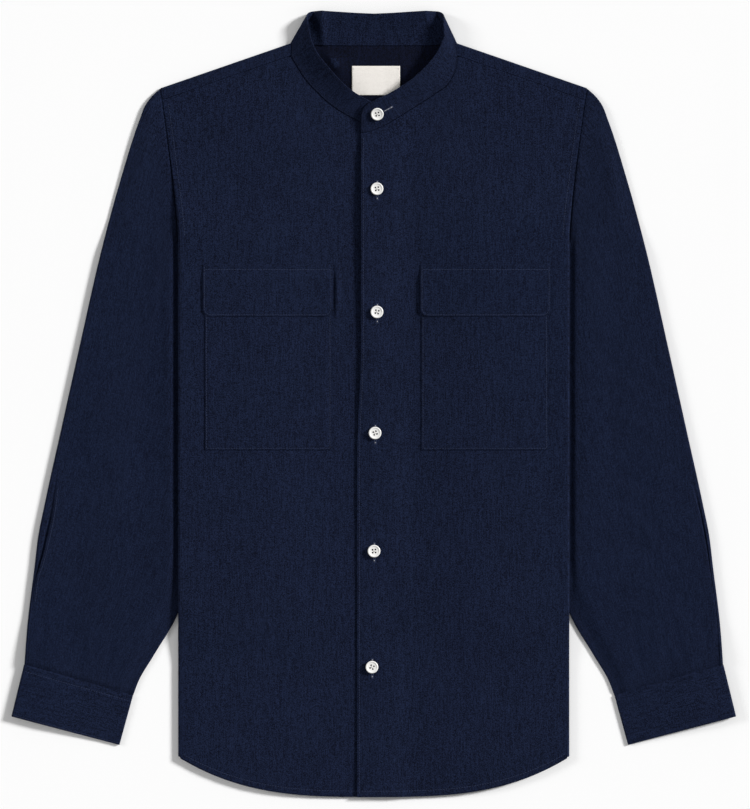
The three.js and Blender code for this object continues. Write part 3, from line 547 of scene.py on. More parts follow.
# Materials
def new_material(name):
    material = bpy.data.materials.new(name)
    material.use_nodes = True
    return material, material.node_tree, material.node_tree.nodes["Principled BSDF"]


class Nodes:
    """Adds shader nodes to a tree and joins them up."""

    def __init__(self, tree, place):
        self.tree = tree
        self.place = place

    def put(self, socket, value):
        if isinstance(value, bpy.types.NodeSocket):
            self.tree.links.new(value, socket)
        else:
            socket.default_value = value

    def math(self, operation, *values):
        made = self.tree.nodes.new("ShaderNodeMath")
        made.operation = operation
        for socket, value in zip(made.inputs, values):
            self.put(socket, value)
        return made.outputs[0]

    def noise(self, scale, detail=2.0, roughness=0.5):
        """Noise that repeats this often in a millimetre along each direction."""
        stretched = self.tree.nodes.new("ShaderNodeVectorMath")
        stretched.operation = "MULTIPLY"
        self.put(stretched.inputs[0], self.place)
        stretched.inputs[1].default_value = scale
        made = self.tree.nodes.new("ShaderNodeTexNoise")
        self.put(made.inputs["Vector"], stretched.outputs[0])
        made.inputs["Scale"].default_value = 1.0
        made.inputs["Detail"].default_value = detail
        made.inputs["Roughness"].default_value = roughness
        return made.outputs[0]

    def mix(self, share, first, second):
        made = self.tree.nodes.new("ShaderNodeMix")
        made.data_type = "RGBA"
        self.put(made.inputs["Factor"], share)
        made.inputs[6].default_value = (*first, 1)
        made.inputs[7].default_value = (*second, 1)
        return made.outputs[2]

    def bump(self, height, distance, strength=1.0):
        made = self.tree.nodes.new("ShaderNodeBump")
        self.put(made.inputs["Height"], height)
        made.inputs["Distance"].default_value = distance
        made.inputs["Strength"].default_value = strength
        return made.outputs[0]


def grain(tree):
    """The cloth's own coordinates, in millimetres across and along its threads."""
    place = tree.nodes.new("ShaderNodeAttribute")
    place.attribute_name = "cloth"
    return place.outputs["Vector"]


def weave(nodes, pitch):
    """The height of a plain weave: threads that pass over and under each other."""
    split = nodes.tree.nodes.new("ShaderNodeSeparateXYZ")
    nodes.put(split.inputs[0], nodes.place)
    turns = [nodes.math("SINE", nodes.math("MULTIPLY", out, math.pi / pitch)) for out in split.outputs[:2]]
    return nodes.math("MULTIPLY", *turns)


def make_shirting(name, dark, light, crinkle):
    """Matte slubbed cotton: fine broken streaks down the warp, fainter ones across, and soft mottling."""
    material, tree, shader = new_material(name)
    nodes = Nodes(tree, grain(tree))
    warp = nodes.noise((1.4, 0.07, 1), 1.0)
    weft = nodes.noise((0.25, 1.8, 1), 2.0, 0.5)
    fleck = nodes.noise((1.15, 1.2, 1), 1.0)
    mottle = nodes.noise((0.02, 0.015, 1), 2.0)
    share = nodes.math("MULTIPLY_ADD", mottle, 0.15, -1.925)
    for yarn, strength in ((warp, 1.2), (weft, 0.3), (fleck, 3.2)):
        share = nodes.math("MULTIPLY_ADD", yarn, strength, share)
    nodes.put(shader.inputs["Base Color"], nodes.mix(share, dark, light))
    shader.inputs["Roughness"].default_value = 0.88
    shader.inputs["Specular IOR Level"].default_value = 0.1
    shader.inputs["Sheen Weight"].default_value = 0.03
    shader.inputs["Sheen Roughness"].default_value = 0.4
    shader.inputs["Sheen Tint"].default_value = (0.45, 0.55, 0.9, 1)
    threads = nodes.math("MULTIPLY_ADD", weave(nodes, 0.42), 0.35, nodes.math("ADD", warp, weft))
    soft = nodes.noise((0.34, 0.24, 1), 2.0, 0.5)
    height = nodes.math("MULTIPLY_ADD", soft, crinkle, threads)
    nodes.put(shader.inputs["Normal"], nodes.bump(height, 0.00016))
    return material


def make_thread(name, dark, light, sheen=0.0):
    material, tree, shader = new_material(name)
    place = tree.nodes.new("ShaderNodeTexCoord")
    nodes = Nodes(tree, place.outputs["Object"])
    twist = nodes.noise((1800, 1800, 1800), 2.0)
    nodes.put(shader.inputs["Base Color"], nodes.mix(twist, dark, light))
    shader.inputs["Roughness"].default_value = 0.7
    shader.inputs["Specular IOR Level"].default_value = 0.12
    shader.inputs["Sheen Weight"].default_value = sheen
    nodes.put(shader.inputs["Normal"], nodes.bump(twist, 0.00005))
    return material


def make_button_material():
    material, tree, shader = new_material("button_resin")
    place = tree.nodes.new("ShaderNodeTexCoord")
    nodes = Nodes(tree, place.outputs["Object"])
    cloud = nodes.noise((260, 340, 300), 3.0, 0.6)
    nodes.put(shader.inputs["Base Color"], nodes.mix(cloud, (0.82, 0.81, 0.79), (0.9, 0.9, 0.88)))
    shader.inputs["Roughness"].default_value = 0.32
    shader.inputs["Coat Weight"].default_value = 0.25
    shader.inputs["Coat Roughness"].default_value = 0.2
    nodes.put(shader.inputs["Normal"], nodes.bump(cloud, 0.00003))
    return material


def make_label_material():
    material, tree, shader = new_material("label_satin")
    nodes = Nodes(tree, grain(tree))
    yarn = nodes.noise((0.5, 3.2, 1), 2.0)
    nodes.put(shader.inputs["Base Color"], nodes.mix(yarn, (0.86, 0.82, 0.77), (0.93, 0.89, 0.84)))
    shader.inputs["Roughness"].default_value = 0.6
    shader.inputs["Specular IOR Level"].default_value = 0.35
    shader.inputs["Sheen Weight"].default_value = 0.1
    height = nodes.math("MULTIPLY_ADD", weave(nodes, 0.3), 0.4, yarn)
    nodes.put(shader.inputs["Normal"], nodes.bump(height, 0.0001))
    return material


shirting = make_shirting("shirting_navy", (0.0007, 0.0020, 0.0095), (0.0096, 0.0166, 0.0472), 0.9)
# The cloth's wrong side, darkened to paint the shade that falls inside the neck
painted_shade_wrong_side = make_shirting("shirting_painted_shade_wrong_side", (0.0003, 0.0008, 0.0042), (0.0036, 0.0062, 0.0225), 0.9)
navy_thread = make_thread("thread_navy", (0.016, 0.024, 0.055), (0.045, 0.058, 0.115))
dark_thread = make_thread("thread_dark", (0.003, 0.006, 0.020), (0.012, 0.018, 0.045))
hole_thread = make_thread("thread_buttonhole", (0.24, 0.25, 0.3), (0.5, 0.5, 0.53))
white_thread = make_thread("thread_white", (0.55, 0.54, 0.51), (0.8, 0.79, 0.77), 0.1)
resin = make_button_material()
satin = make_label_material()

cloth_pieces, sewn = {}, {}


def dress(node, made):
    """The piece stands for its CAD node, which it hides, and is kept under that node's name."""
    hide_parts(node)
    cloth_pieces[node] = made


def sew(node, made):
    """Sewing that goes with the cloth of a node."""
    sewn.setdefault(node, []).append(made)


# Fronts
SIDE_SHARES = np.linspace(0, 1, 27)[1:]
FOLD_TURNS = np.arange(12, 181, 12.0)
TUCK_SHARES = np.array([*np.linspace(0, 1, 17)[1:-1], 1 - RIM / TUCK_CUT, 1])


def side_grid(height, radius, y, rises, shares, turns, tucks):
    """x, z, and distance round the body, of the columns from the rise to the tuck's inner edge."""
    start = fold_start(radius, y)
    top = height(start, y)
    across = lerp(TUCK_X, start, shares)
    out, down = fold_arc(radius, tuck_rise(y), turns)
    out_end, down_end = fold_arc(radius, tuck_rise(y), 180)
    deepest = SIDE_X - HALF - FRONT_FOLD - TUCK_X
    length = lerp(TUCK_LEAST, deepest, np.clip((TUCK_Y - y) / (TUCK_Y - UNDERARM_Y), 0, 1))
    rises = np.broadcast_to(rises, (len(y), len(rises)))
    x = np.hstack([rises, across, start + out, start + out_end - tucks * length])
    z = np.hstack([height(rises, y), height(across, y), top - down, top - down_end + 0 * tucks])
    arc = np.concatenate([rises[0], lerp(TUCK_X, SIDE_X - FRONT_FOLD, shares),
                          SIDE_X + turns * TURN_CUT / 180, SIDE_X + TURN_CUT + tucks * TUCK_CUT])
    return x, z, arc


def front(node, neckline, side, height, swing, seed):
    """One front: its neckline columns run down from the band, and the rest wrap round the side."""
    edge = neckline["down"][0]
    # Close columns for the groove along the edge, and for the narrow fold beside the flap
    narrow = beside(FLAP_RIGHT[0] - 3, reach=(-3, -1.8, -0.9, 0, 0.9, 1.6, 2.3, 3))
    close = [*beside(edge + FRONT_STITCH), *narrow, edge + 5, edge + 6.6]
    downs = spaced(edge, RISE_X, 2.7, close, (True, False))
    rises = np.linspace(RISE_X, TUCK_X, 11)[1:]
    body_y = spaced(LIFT_Y, LOW_Y, 3.1, [TUCK_Y], (False, False))[:, None]
    down_x = downs + swing * ramp(body_y, *SWING_Y) * (1 - np.clip(downs / SWING_REACH, 0, 1))
    side_x, side_z, side_arc = side_grid(height, FRONT_FOLD, body_y, rises, SIDE_SHARES, FOLD_TURNS,
                                         TUCK_SHARES)
    x = np.hstack([down_x, side_x])
    z = np.hstack([height(down_x, body_y), side_z])
    across = np.concatenate([downs, side_arc])
    arc = np.maximum(0, across)
    # From the yoke down to the first row of the body
    top_x = curve(neckline["down"], neckline["x"], downs)
    top_y = curve(neckline["down"], neckline["y"], downs)
    share = (side_x[0] - RISE_X) / (armhole_x(LIFT_Y) - RISE_X)
    shoulder_x = lerp(neckline["x"][-1], armhole_x(TIP_Y - STRIP), share)
    top_x = np.concatenate([top_x, shoulder_x])
    top_y = np.concatenate([top_y, shoulder_y(np.maximum(shoulder_x, NECK_X)) - STRIP - SEAM_GAP])
    t = np.array([0, 0.004, 0.012, 0.026, 0.045, *np.linspace(0.07, 1, 29)[:-1]])[:, None]
    upper_x = lerp(top_x, np.minimum(x[0], fold_start(FRONT_FOLD, LIFT_Y) + 10), t)
    upper_y = lerp(top_y, LIFT_Y, t)
    upper = np.stack([upper_x, upper_y, height(upper_x, upper_y)], -1)
    body = np.stack([x, np.broadcast_to(body_y, x.shape), z], -1)
    # From the low row down to the hem
    fall = LOW_Y - HEM_Y
    t = 1 - spaced(fall, 0, 3.1, beside(HEM_STITCH), (False, True))[1:, None] / fall
    hem_rows = np.stack([np.broadcast_to(x[-1], (len(t), len(arc))), lerp(LOW_Y, hem_y(arc), t),
                         np.broadcast_to(z[-1], (len(t), len(arc)))], -1)
    low_x = hem_rows[..., 0]
    flat = np.arange(len(arc)) < len(downs) + len(rises) + len(SIDE_SHARES)
    hem_rows[..., 2] = np.where(flat, height(low_x, hem_rows[..., 1]), hem_rows[..., 2])
    points = np.concatenate([upper, body, hem_rows])
    # Sewing draws the cloth in: a groove under each row of stitches, and small puckers beside it
    dip = np.zeros(points.shape[:2])
    dip[:, : len(downs)] -= 0.13 * bell(downs - edge - FRONT_STITCH, 0.55)
    dip[:, : len(downs)] += 0.06 * uneven(points[:, : len(downs), 1], seed, 43) * bell(downs - edge, 5)
    from_hem = points[..., 1] - hem_y(arc)
    dip -= 0.15 * bell(from_hem - HEM_STITCH, 0.6)
    dip += 0.13 * uneven(arc, seed + 2, 23) * bell(from_hem, 6) * (arc < SIDE_X)
    points[..., 2] += dip
    points[..., 0] *= side
    tucked = np.zeros(len(arc), bool)
    tucked[-len(TUCK_SHARES):] = True
    tucked[-len(TUCK_SHARES) - (FOLD_TURNS > 90).sum():] = True
    tuck_row = len(upper) + int(np.argmin(np.abs(body_y[:, 0] - TUCK_Y)))
    has = (np.arange(len(points) - 1) >= tuck_row)[:, None] | ~tucked[1:]
    cloth = (across * side, points[..., 1], round(seed))
    made, _ = shell(f"{node}_cloth", points, SHIRTING, cloth, shirting, has)
    dress(node, made)


def front_sewing(node, neckline, side, height, swing):
    """Stitches down the front edge, the armhole and the hem."""
    out = SHIRTING / 2 + 0.02
    edge_y = np.arange(neckline["y"][0] - 4, HEM_Y + 2, -1.0)
    edge_x = neckline["down"][0] + FRONT_STITCH + swing * ramp(edge_y, *SWING_Y)
    armhole_y = np.arange(TIP_Y - STRIP - 2, TUCK_Y + 2, -1.0)
    armhole_line = armhole_x(armhole_y) - ARMHOLE_STITCH - 1.5 * tuck_rise(armhole_y)
    hem_x = np.arange(edge_x[-1] + 1, SIDE_X - 4, 1.0)
    lines = [
        on_surface(height, edge_x, edge_y, out - 0.1, side),
        on_surface(height, armhole_line, armhole_y, out, side),
        on_surface(height, hem_x, hem_y(np.maximum(0, hem_x)) + HEM_STITCH, out - 0.12, side),
    ]
    sew(node, stitches(f"{node}_stitching", lines, navy_thread))


FRONTS = (
    ("front_right", UNDER_NECKLINE, -1, under_z, 0, 1.7),
    ("front_left", OVER_NECKLINE, 1, over_z, EDGE_SWING, 4.1),
)
for node, neckline, side, height, swing, seed in FRONTS:
    front(node, neckline, side, height, swing, seed)
    front_sewing(node, neckline, side, height, swing)


# Back
def back():
    rises = np.linspace(RISE_X, TUCK_X, 8)[1:]
    shares, turns = np.linspace(0, 1, 19)[1:], np.arange(15, 181, 15.0)
    tucks = np.array([*np.linspace(0, 1, 15)[1:-1], 1 - RIM / TUCK_CUT, 1])
    top = YOKE_Y - SEAM_GAP
    y = np.concatenate([spaced(top, LIFT_Y, 4, (), (True, False))[:-1],
                        spaced(LIFT_Y, LOW_Y, 4.5, [TUCK_Y], (False, False))])[:, None]
    middle = np.arange(0, RISE_X + 1, 5.0)
    columns = []
    for side in (-1, 1):
        def height(x, at, side=side):
            return back_z(side * x, at)

        inner = np.broadcast_to(middle, (len(y), len(middle)))
        x, z, arc = side_grid(height, BACK_FOLD, y, rises, shares, turns, tucks)
        columns.append((side * np.hstack([inner, x]), np.hstack([height(inner, y), z])))
    arc = np.concatenate([middle, arc])
    (left_x, left_z), (right_x, right_z) = columns
    x = np.hstack([left_x[:, :0:-1], right_x])
    z = np.hstack([left_z[:, :0:-1], right_z])
    arcs = np.concatenate([-arc[:0:-1], arc])
    body = np.stack([x, np.broadcast_to(y, x.shape), z], -1)
    fall = LOW_Y - HEM_Y
    t = 1 - spaced(fall, 0, 4.5, beside(HEM_STITCH), (False, True))[1:, None] / fall
    hem_rows = np.stack([np.broadcast_to(x[-1], (len(t), len(arcs))),
                         lerp(LOW_Y, hem_y(np.abs(arcs)) + BACK_SHORT, t),
                         np.broadcast_to(z[-1], (len(t), len(arcs)))], -1)
    points = np.concatenate([body, hem_rows])
    tucked = np.abs(arcs) > SIDE_X + TURN_CUT / 2 + 0.01
    tuck_row = int(np.argmin(np.abs(y[:, 0] - TUCK_Y)))
    has = (np.arange(len(points) - 1) >= tuck_row)[:, None] | ~(tucked[1:] | tucked[:-1])
    made, _ = shell("back_cloth", points, SHIRTING, (arcs, points[..., 1], 3), shirting, has)
    dress("back", made)


back()


# Yoke
def yoke():
    radius = AIR / 2
    fold_y = HALF + radius
    strip = spaced(STRIP, fold_y, 1.8, beside(STRIP - EDGE_STITCH), (True, False))
    turn = np.radians(np.arange(15, 166, 15.0))
    drop = np.concatenate([strip, fold_y - radius * np.sin(turn)])
    z = np.concatenate([np.full(len(strip), HALF + AIR), HALF + radius + radius * np.cos(turn)])
    t = spaced(0, 1, 0.035, [0.985], (False, False))
    down = np.concatenate([np.zeros(len(drop)), t])[:, None]
    z = np.concatenate([z, np.full(len(t), HALF)])[:, None]
    drop = np.concatenate([drop, np.full(len(t), fold_y)])[:, None]
    share = np.array([-0.05, -0.046, -0.02, *np.linspace(0, 1, 34)[1:-1], 0.996, 1])
    middle = np.arange(-81, 82, 2.7)
    end_x = armhole_x(lerp(TIP_Y - drop, YOKE_Y, down))
    shoulder_x = lerp(NECK_X, end_x, share)
    shoulder = lerp(shoulder_y(shoulder_x) - drop, YOKE_Y, down)
    under_band = ALLOWANCE * (down < 1e-6)
    between_y = np.broadcast_to(lerp(BACK_NECK_Y, YOKE_Y, down) + under_band, (len(down), len(middle)))
    x = np.hstack([-shoulder_x[:, ::-1], np.broadcast_to(middle, between_y.shape), shoulder_x])
    y = np.hstack([shoulder[:, ::-1], between_y, shoulder])
    puckers = 0.07 * uneven(x, 3.0, 21) * bell(drop - STRIP, 4) * (down == 0)
    groove = 0.12 * bell(drop - STRIP + EDGE_STITCH, 0.6) * (down == 0)
    creases = folded(YOKE_CREASES, x, y) * (down > 0)
    points = np.stack([x, y, np.broadcast_to(z, x.shape) + puckers - groove + creases], -1)
    on_shoulder = np.array([1] * len(share) + [0] * len(middle) + [2] * len(share))
    both = (on_shoulder[1:] == on_shoulder[:-1]) & (on_shoulder[1:] > 0)
    # The strip over the shoulder stops at the neck, and the back part runs across
    has = (np.arange(len(points) - 1) >= len(strip) + len(turn))[:, None] | both
    made, normals = shell("yoke_cloth", points, SHIRTING, (x, y + drop * 2, 4), shirting, has)
    # Its back part shows its wrong side through the neck, in a darker colour that paints the shade inside the
    # neck
    made.data.materials.append(painted_shade_wrong_side)
    middles = np.zeros((len(made.data.polygons), 3))
    made.data.polygons.foreach_get("center", middles.ravel())
    # The yoke's back faces low inside the neck take the painted shade
    inside = (middles[:, 2] < AIR * MM) & (middles[:, 1] < BACK_NECK_Y * MM)
    made.data.polygons.foreach_set("material_index", inside.astype(int))
    dress("yoke", made)
    row = np.interp(EDGE_STITCH, STRIP - strip, np.arange(len(strip)))
    lines = []
    for first in (0, len(points[0]) - len(share)):
        columns = first + np.linspace(1, len(share) - 2, 140)
        lines.append(on_grid(points, normals, row, columns, SHIRTING / 2 + 0.02))
    sew("yoke", stitches("yoke_stitching", lines, navy_thread))


yoke()


# Band
def band():
    def front_part(neckline, side, height):
        downs = spaced(neckline["down"][0], neckline["down"][-1], 1.7, (), (True, False))
        columns = (neckline[name] for name in NECKLINE.split()[1:])
        x, y, top_x, top_y, top_z = (curve(neckline["down"], column, downs) for column in columns)
        seam = np.stack([side * x, y, height(x, y) + (BAND - CLOTH) / 2], -1)
        top = np.stack([side * top_x, top_y, top_z], -1)
        inward = (top - seam) * (1, 1, 0)
        inward /= np.linalg.norm(inward, axis=1, keepdims=True)
        return seam + inward * (SEAM_GAP + 0.1), top

    def fold(side, reach):
        turns = np.linspace(90, -90, 19)
        low, high = BAND / 2, HALF + AIR + (BAND - CLOTH) / 2
        radius, fall = (high - low) / 2, math.atan(SHOULDER_FALL)
        inset = radius + BAND / 2 - radius * np.cos(np.radians(turns))
        seam_x = side * (BAND_SEAM_OUT[0] - inset * math.cos(fall))
        seam_y = BAND_SEAM_OUT[1] - inset * math.sin(fall)
        seam = np.stack([seam_x, seam_y, low + radius + radius * np.sin(np.radians(turns))], -1)
        x, y, z = (curve(BAND_FOLD["turn"][::-1], BAND_FOLD[k][::-1], turns) for k in "xyz")
        return seam, np.stack([side * (x + reach), y, z], -1)

    under = front_part(UNDER_NECKLINE, -1, under_z)
    over = front_part(OVER_NECKLINE, 1, over_z)
    back_x = np.linspace(BAND_BACK["x"][0], -BAND_BACK["x"][0], 72)
    rising = BAND_BACK["x"][::-1]
    columns = (BAND_BACK[name][::-1] for name in ("seamY", "topX", "topY"))
    seam_y, top_x, top_y = (curve(rising, column, np.abs(back_x)) for column in columns)
    arch = BAND_ARCH * np.where(back_x > 0, ramp(back_x, *ARCH_RIGHT_X), ramp(-back_x, *ARCH_LEFT_X))
    back_seam = np.stack([-back_x, seam_y, np.full(len(back_x), BAND / 2)], -1)
    back_top = np.stack([-np.sign(back_x) * top_x, top_y, BAND_BACK_TOP_Z + arch], -1)
    right, left = fold(-1, 0), fold(1, OVER_FOLD_OUT)
    parts = [under, right, (back_seam, back_top), *(tuple(p[::-1] for p in part) for part in (left, over))]
    seam, top = (np.concatenate([part[k] for part in parts]) for k in (0, 1))
    width = np.linalg.norm(top - seam, axis=1).mean()
    across = spaced(0, width, 1.7, beside(EDGE_STITCH, width - EDGE_STITCH, reach=GROOVE))
    share = (across / width)[:, None]
    points = lerp(seam[None, :, :], top[None, :, :], share[..., None])
    points[..., 2] = lerp(seam[None, :, 2], top[None, :, 2], share**BAND_CURL)
    # The back of the band stands up beside its right fold, and the fold lies dark behind it
    first = len(under[0]) + len(right[0])
    in_back = slice(first, first + len(back_x))
    points[:, in_back, 2] += folded(BAND_CREASES, points[:, in_back, 0], points[:, in_back, 1])
    length = distances(lerp(seam, top, 0.5))
    near_edge = np.minimum(across, width - across)[:, None]
    thickness = BAND_SHOWN - 0.24 * bell(near_edge - EDGE_STITCH, 0.5) + 0 * length
    ripple = 0.08 * uneven(length, 5.0, 26) * bell(across[:, None], 7)
    points[..., 2] += ripple
    cloth = (length, across[:, None], 9)
    made, normals = shell("collar_band_cloth", points, thickness, cloth, shirting)
    dress("collar_band", made)
    rows = np.interp([EDGE_STITCH, width - EDGE_STITCH], across, np.arange(len(across)))
    columns = np.linspace(1.5, len(seam) - 2.5, 1200)
    lines = [on_grid(points, normals, row, columns, out * (BAND_SHOWN / 2 - 0.08))
             for row in rows for out in (1, -1)]
    ends = np.linspace(rows[0], rows[1], 60)
    lines += [on_grid(points, normals, ends, len(seam) - 3.2, BAND_SHOWN / 2 - 0.02)]
    sew("collar_band", stitches("collar_band_stitching", lines, dark_thread))
    return points, normals, across


band_points, band_normals, band_across = band()


# Sleeves
def along_outline(rows):
    points = np.stack([rows["x"], rows["y"]], -1)
    knots = distances(points)
    fine = np.linspace(0, knots[-1], 600)
    dense = np.stack([curve(knots, points[:, k], fine) for k in (0, 1)], -1)
    length = distances(dense)
    return lambda t: np.stack([np.interp(t * length[-1], length, dense[:, k]) for k in (0, 1)], -1)


def sleeve(name, side, vent, creases, number):
    """One sleeve as a tube: columns run round it from the outer edge, rows from the armhole down."""
    outer, inner = along_outline(SLEEVE_OUTER), along_outline(SLEEVE_INNER)
    corner = np.array([SLEEVE_OUTER["x"][0], SLEEVE_OUTER["y"][0]])
    underarm = np.array([SLEEVE_INNER["x"][0], SLEEVE_INNER["y"][0]])
    seam_y = np.linspace(corner[1], TUCK_Y, 30)[1:]
    armhole_points = np.vstack([corner, np.stack([armhole_x(seam_y) + SEAM_GAP + 0.1, seam_y], -1), underarm])
    armhole_along = distances(armhole_points)
    wrist_out, wrist_in = outer(np.array(1.0)), inner(np.array(1.0))

    def patch(u, v):
        u, v = np.broadcast_arrays(u, v)
        s, t = u[..., None], v[..., None]
        at = u * armhole_along[-1]
        arm = np.stack([np.interp(at, armhole_along, armhole_points[:, k]) for k in (0, 1)], -1)
        sides = lerp(outer(v), inner(v), s)
        wrist = lerp(wrist_out, wrist_in, s)
        return sides + lerp(arm, wrist, t) - lerp(lerp(corner, underarm, s), wrist, t)

    v = spaced(0, 1, 0.0052, (), (False, False))
    v = np.array([0, 0.0006, 0.0016, *v[1:-1], 0.998, 0.9994, 1])[:, None]
    edge_xy = patch(np.zeros_like(v), v)
    far_xy = patch(np.ones_like(v), v)
    width = np.linalg.norm(far_xy - edge_xy, axis=-1)
    outward = edge_xy - patch(np.full_like(v, 0.06), v)
    outward /= np.linalg.norm(outward, axis=-1, keepdims=True)
    inward = far_xy - patch(np.full_like(v, 0.94), v)
    inward /= np.linalg.norm(inward, axis=-1, keepdims=True)
    edge_y = edge_xy[..., 1]
    rising = vent["y"][::-1]
    inset = curve(rising, vent["inset"][::-1], np.clip(edge_y, rising[0], rising[-1]))
    bump = ramp(v, 0.9, 1)

    def beside_rise(xy):
        return BESIDE_RISE * ramp(xy[..., 0], *BESIDE_X) * ramp(xy[..., 1], *BESIDE_Y)

    def wrist_bump(u):
        return bump * (1 - ramp(u, 0.3, 0.52))

    def top_z(u, xy, up):
        x, y = xy[..., 0], xy[..., 1]
        loft = ramp(x, LOFT_FROM_X, LOFT_FULL_X) * ramp(u, 0, 0.12) * (1 - ramp(u, 0.7, 1) * 0.9)
        open_here = np.sqrt(np.interp(y, rising, vent["open"][::-1]))
        loft = loft * (SLEEVE_LOFT - BESIDE_RISE * ramp(y, *BESIDE_Y)) * (1 - 0.5 * ramp(v, 0.85, 1))
        base = HALF + PLY + SHOULDER_LOFT * ramp(y, *SHOULDER_LOFT_Y) + loft
        base = base + beside_rise(xy) * (1 - ramp(u, 0.86, 0.97))
        step = (up - 1) * VENT_STEP * open_here * ramp(base, HALF + PLY, HALF + PLY + 1)
        creased = ramp(x, 202, 216) * ramp(u, 0.03, 0.12) * (1 - ramp(u, 0.86, 0.97))
        lift = VENT_RISE * open_here * ramp(u, 0.3, 0) + WRIST_SWELL * wrist_bump(u)
        return base + step + lift + folded(creases, x, y) * creased

    radius_out = (PLY + SHOULDER_LOFT * ramp(edge_y, *SHOULDER_LOFT_Y) + beside_rise(edge_xy)) / 2
    radius_in = PLY / 2
    edge_out = (radius_out + HALF) / width
    edge_in = 1 - (radius_in + HALF) / width

    def arc(u, low, radius, direction, degrees):
        turn = np.radians(degrees)
        xy = patch(np.broadcast_to(u, v.shape), v) + direction * (radius * np.cos(turn))[..., None]
        return np.concatenate([xy, (low + radius + radius * np.sin(turn))[..., None]], -1)

    columns = []
    for degrees in np.linspace(-90, 90, 10):
        columns.append(arc(edge_out, HALF + WRIST_LIFT * bump, radius_out, outward, degrees))
    vent_low = np.maximum(VENT_LEAST, inset - VENT_WIDTH)
    vent_high = vent_low + VENT_WIDTH
    openness = np.interp(edge_y, rising, vent["open"][::-1])
    doubled = ramp(openness, 0.3, 1)

    def top_column(from_edge, up):
        u = from_edge / width
        xy = patch(u, v)
        return np.concatenate([xy, top_z(u, xy, up)[..., None]], -1)

    for t, up in zip(*VENT_SLOPE.values()):
        columns.append(top_column(lerp(edge_out * width, vent_low, t), up))
    steps = len(VENT_FOLD["inward"])
    for i, (inward_by, up) in enumerate(zip(VENT_FOLD["inward"], VENT_FOLD["up"])):
        plain = vent_low + VENT_WIDTH * (i + 1) / steps
        columns.append(top_column(lerp(plain, vent_high + inward_by, doubled), up))
    vent_column = len(columns)
    from_vent = np.array([0.012, 0.024, 0.04, *np.linspace(0.06, 0.97, 84), 0.985])
    for t in from_vent:
        columns.append(top_column(lerp(vent_high, edge_in * width, t), 1.0))
    low_in = np.full_like(v, HALF)
    for degrees in np.linspace(90, -90, 9):
        columns.append(arc(edge_in, low_in, np.full_like(v, radius_in), inward, degrees))
    for t in np.linspace(0.96, 0.04, 16):
        u = lerp(edge_out, edge_in, t)
        xy = patch(u, v)
        low_z = HALF + WRIST_LIFT * wrist_bump(u)
        columns.append(np.concatenate([xy, low_z[..., None]], -1))
    points = np.concatenate(columns, axis=1)
    # Both ends carry on a little, lower, under the front and into the cuff
    for end, beyond, sink, reach in ((0, 4, TUCKED_IN, 0.9), (-1, -5, 1.6 * TUCKED_IN, 1.8)):
        onward = points[end] - points[beyond]
        onward[:, 2] = 0
        onward *= ALLOWANCE / np.maximum(np.linalg.norm(onward, axis=1, keepdims=True), 1e-9)
        from_end = np.linalg.norm((points - points[end])[..., :2], axis=-1)
        points[..., 2] -= sink * bell(from_end, reach) * (points[..., 2] > PLY)
        points[end, :, :2] += onward[:, :2]
    cloth = (distances(points[GRAIN_ROW]) * side, v * SLEEVE_GRAIN, number)
    points[..., 0] *= side
    made, normals = shell(f"sleeve_{name}_cloth", points, SHIRTING, cloth, shirting, ring=True)
    dress(f"sleeve_{name}", made)
    # The vent's edge is stitched where it stands open
    open_rows = np.flatnonzero(openness[:, 0] > 0.05)
    rows = np.linspace(open_rows[0], open_rows[-1], 3 * len(open_rows))
    lines = [on_grid(points, normals, rows, vent_column + 0.35, SHIRTING / 2)]
    sew(f"sleeve_{name}", stitches(f"sleeve_{name}_stitching", lines, navy_thread))


sleeve("right", -1, VENT_RIGHT, RIGHT_CREASES, 5)
sleeve("left", 1, VENT_LEFT, LEFT_CREASES, 6)


# Cuffs
def cuff_path():
    def arc(edge, direction, high, low, angles):
        radius = (high - low) / 2
        turns = np.radians(angles)
        return [(edge + direction * (radius + CUFF / 2 - radius * math.cos(t)),
                 (high + low) / 2 + radius * math.sin(t)) for t in turns]

    corners = [
        (CUFF_FLAP, CUFF_FLAP_Z), (18, CUFF_FLAP_Z),
        *arc(0, 1, CUFF_TOP_Z, CUFF_FLAP_Z, np.linspace(-90, 90, 9)),
        (20, CUFF_TOP_Z), (CUFF_SLOPE[0] - 2, CUFF_TOP_Z - 0.3), (CUFF_SLOPE[1], CUFF_FLAT_Z + 2.3),
        (80, CUFF_FLAT_Z + 0.9), (100, CUFF_FLAT_Z + 0.1),
        *arc(CUFF_WIDTH, -1, CUFF_FLAT_Z, CUFF / 2, np.linspace(90, -90, 9)),
        (85, CUFF / 2), (CUFF_SLOPE[1], CUFF / 2), (CUFF_SLOPE[0], CUFF_INNER_Z), (12, CUFF_INNER_Z),
    ]
    corners = np.array(corners)
    along = distances(corners)
    at = np.unique(np.concatenate([np.linspace(0, along[-1], 130), along, [RIM, along[-1] - RIM]]))
    return np.stack([np.interp(at, along, corners[:, k]) for k in (0, 1)], -1), at


def cuff_place(w, down):
    outer = lerp(np.array(CUFF_OUTER[0]), np.array(CUFF_OUTER[1]), down[..., None])
    inner = lerp(np.array(CUFF_INNER[0]), np.array(CUFF_INNER[1]), down[..., None])
    return lerp(outer, inner, (w / CUFF_WIDTH)[..., None])


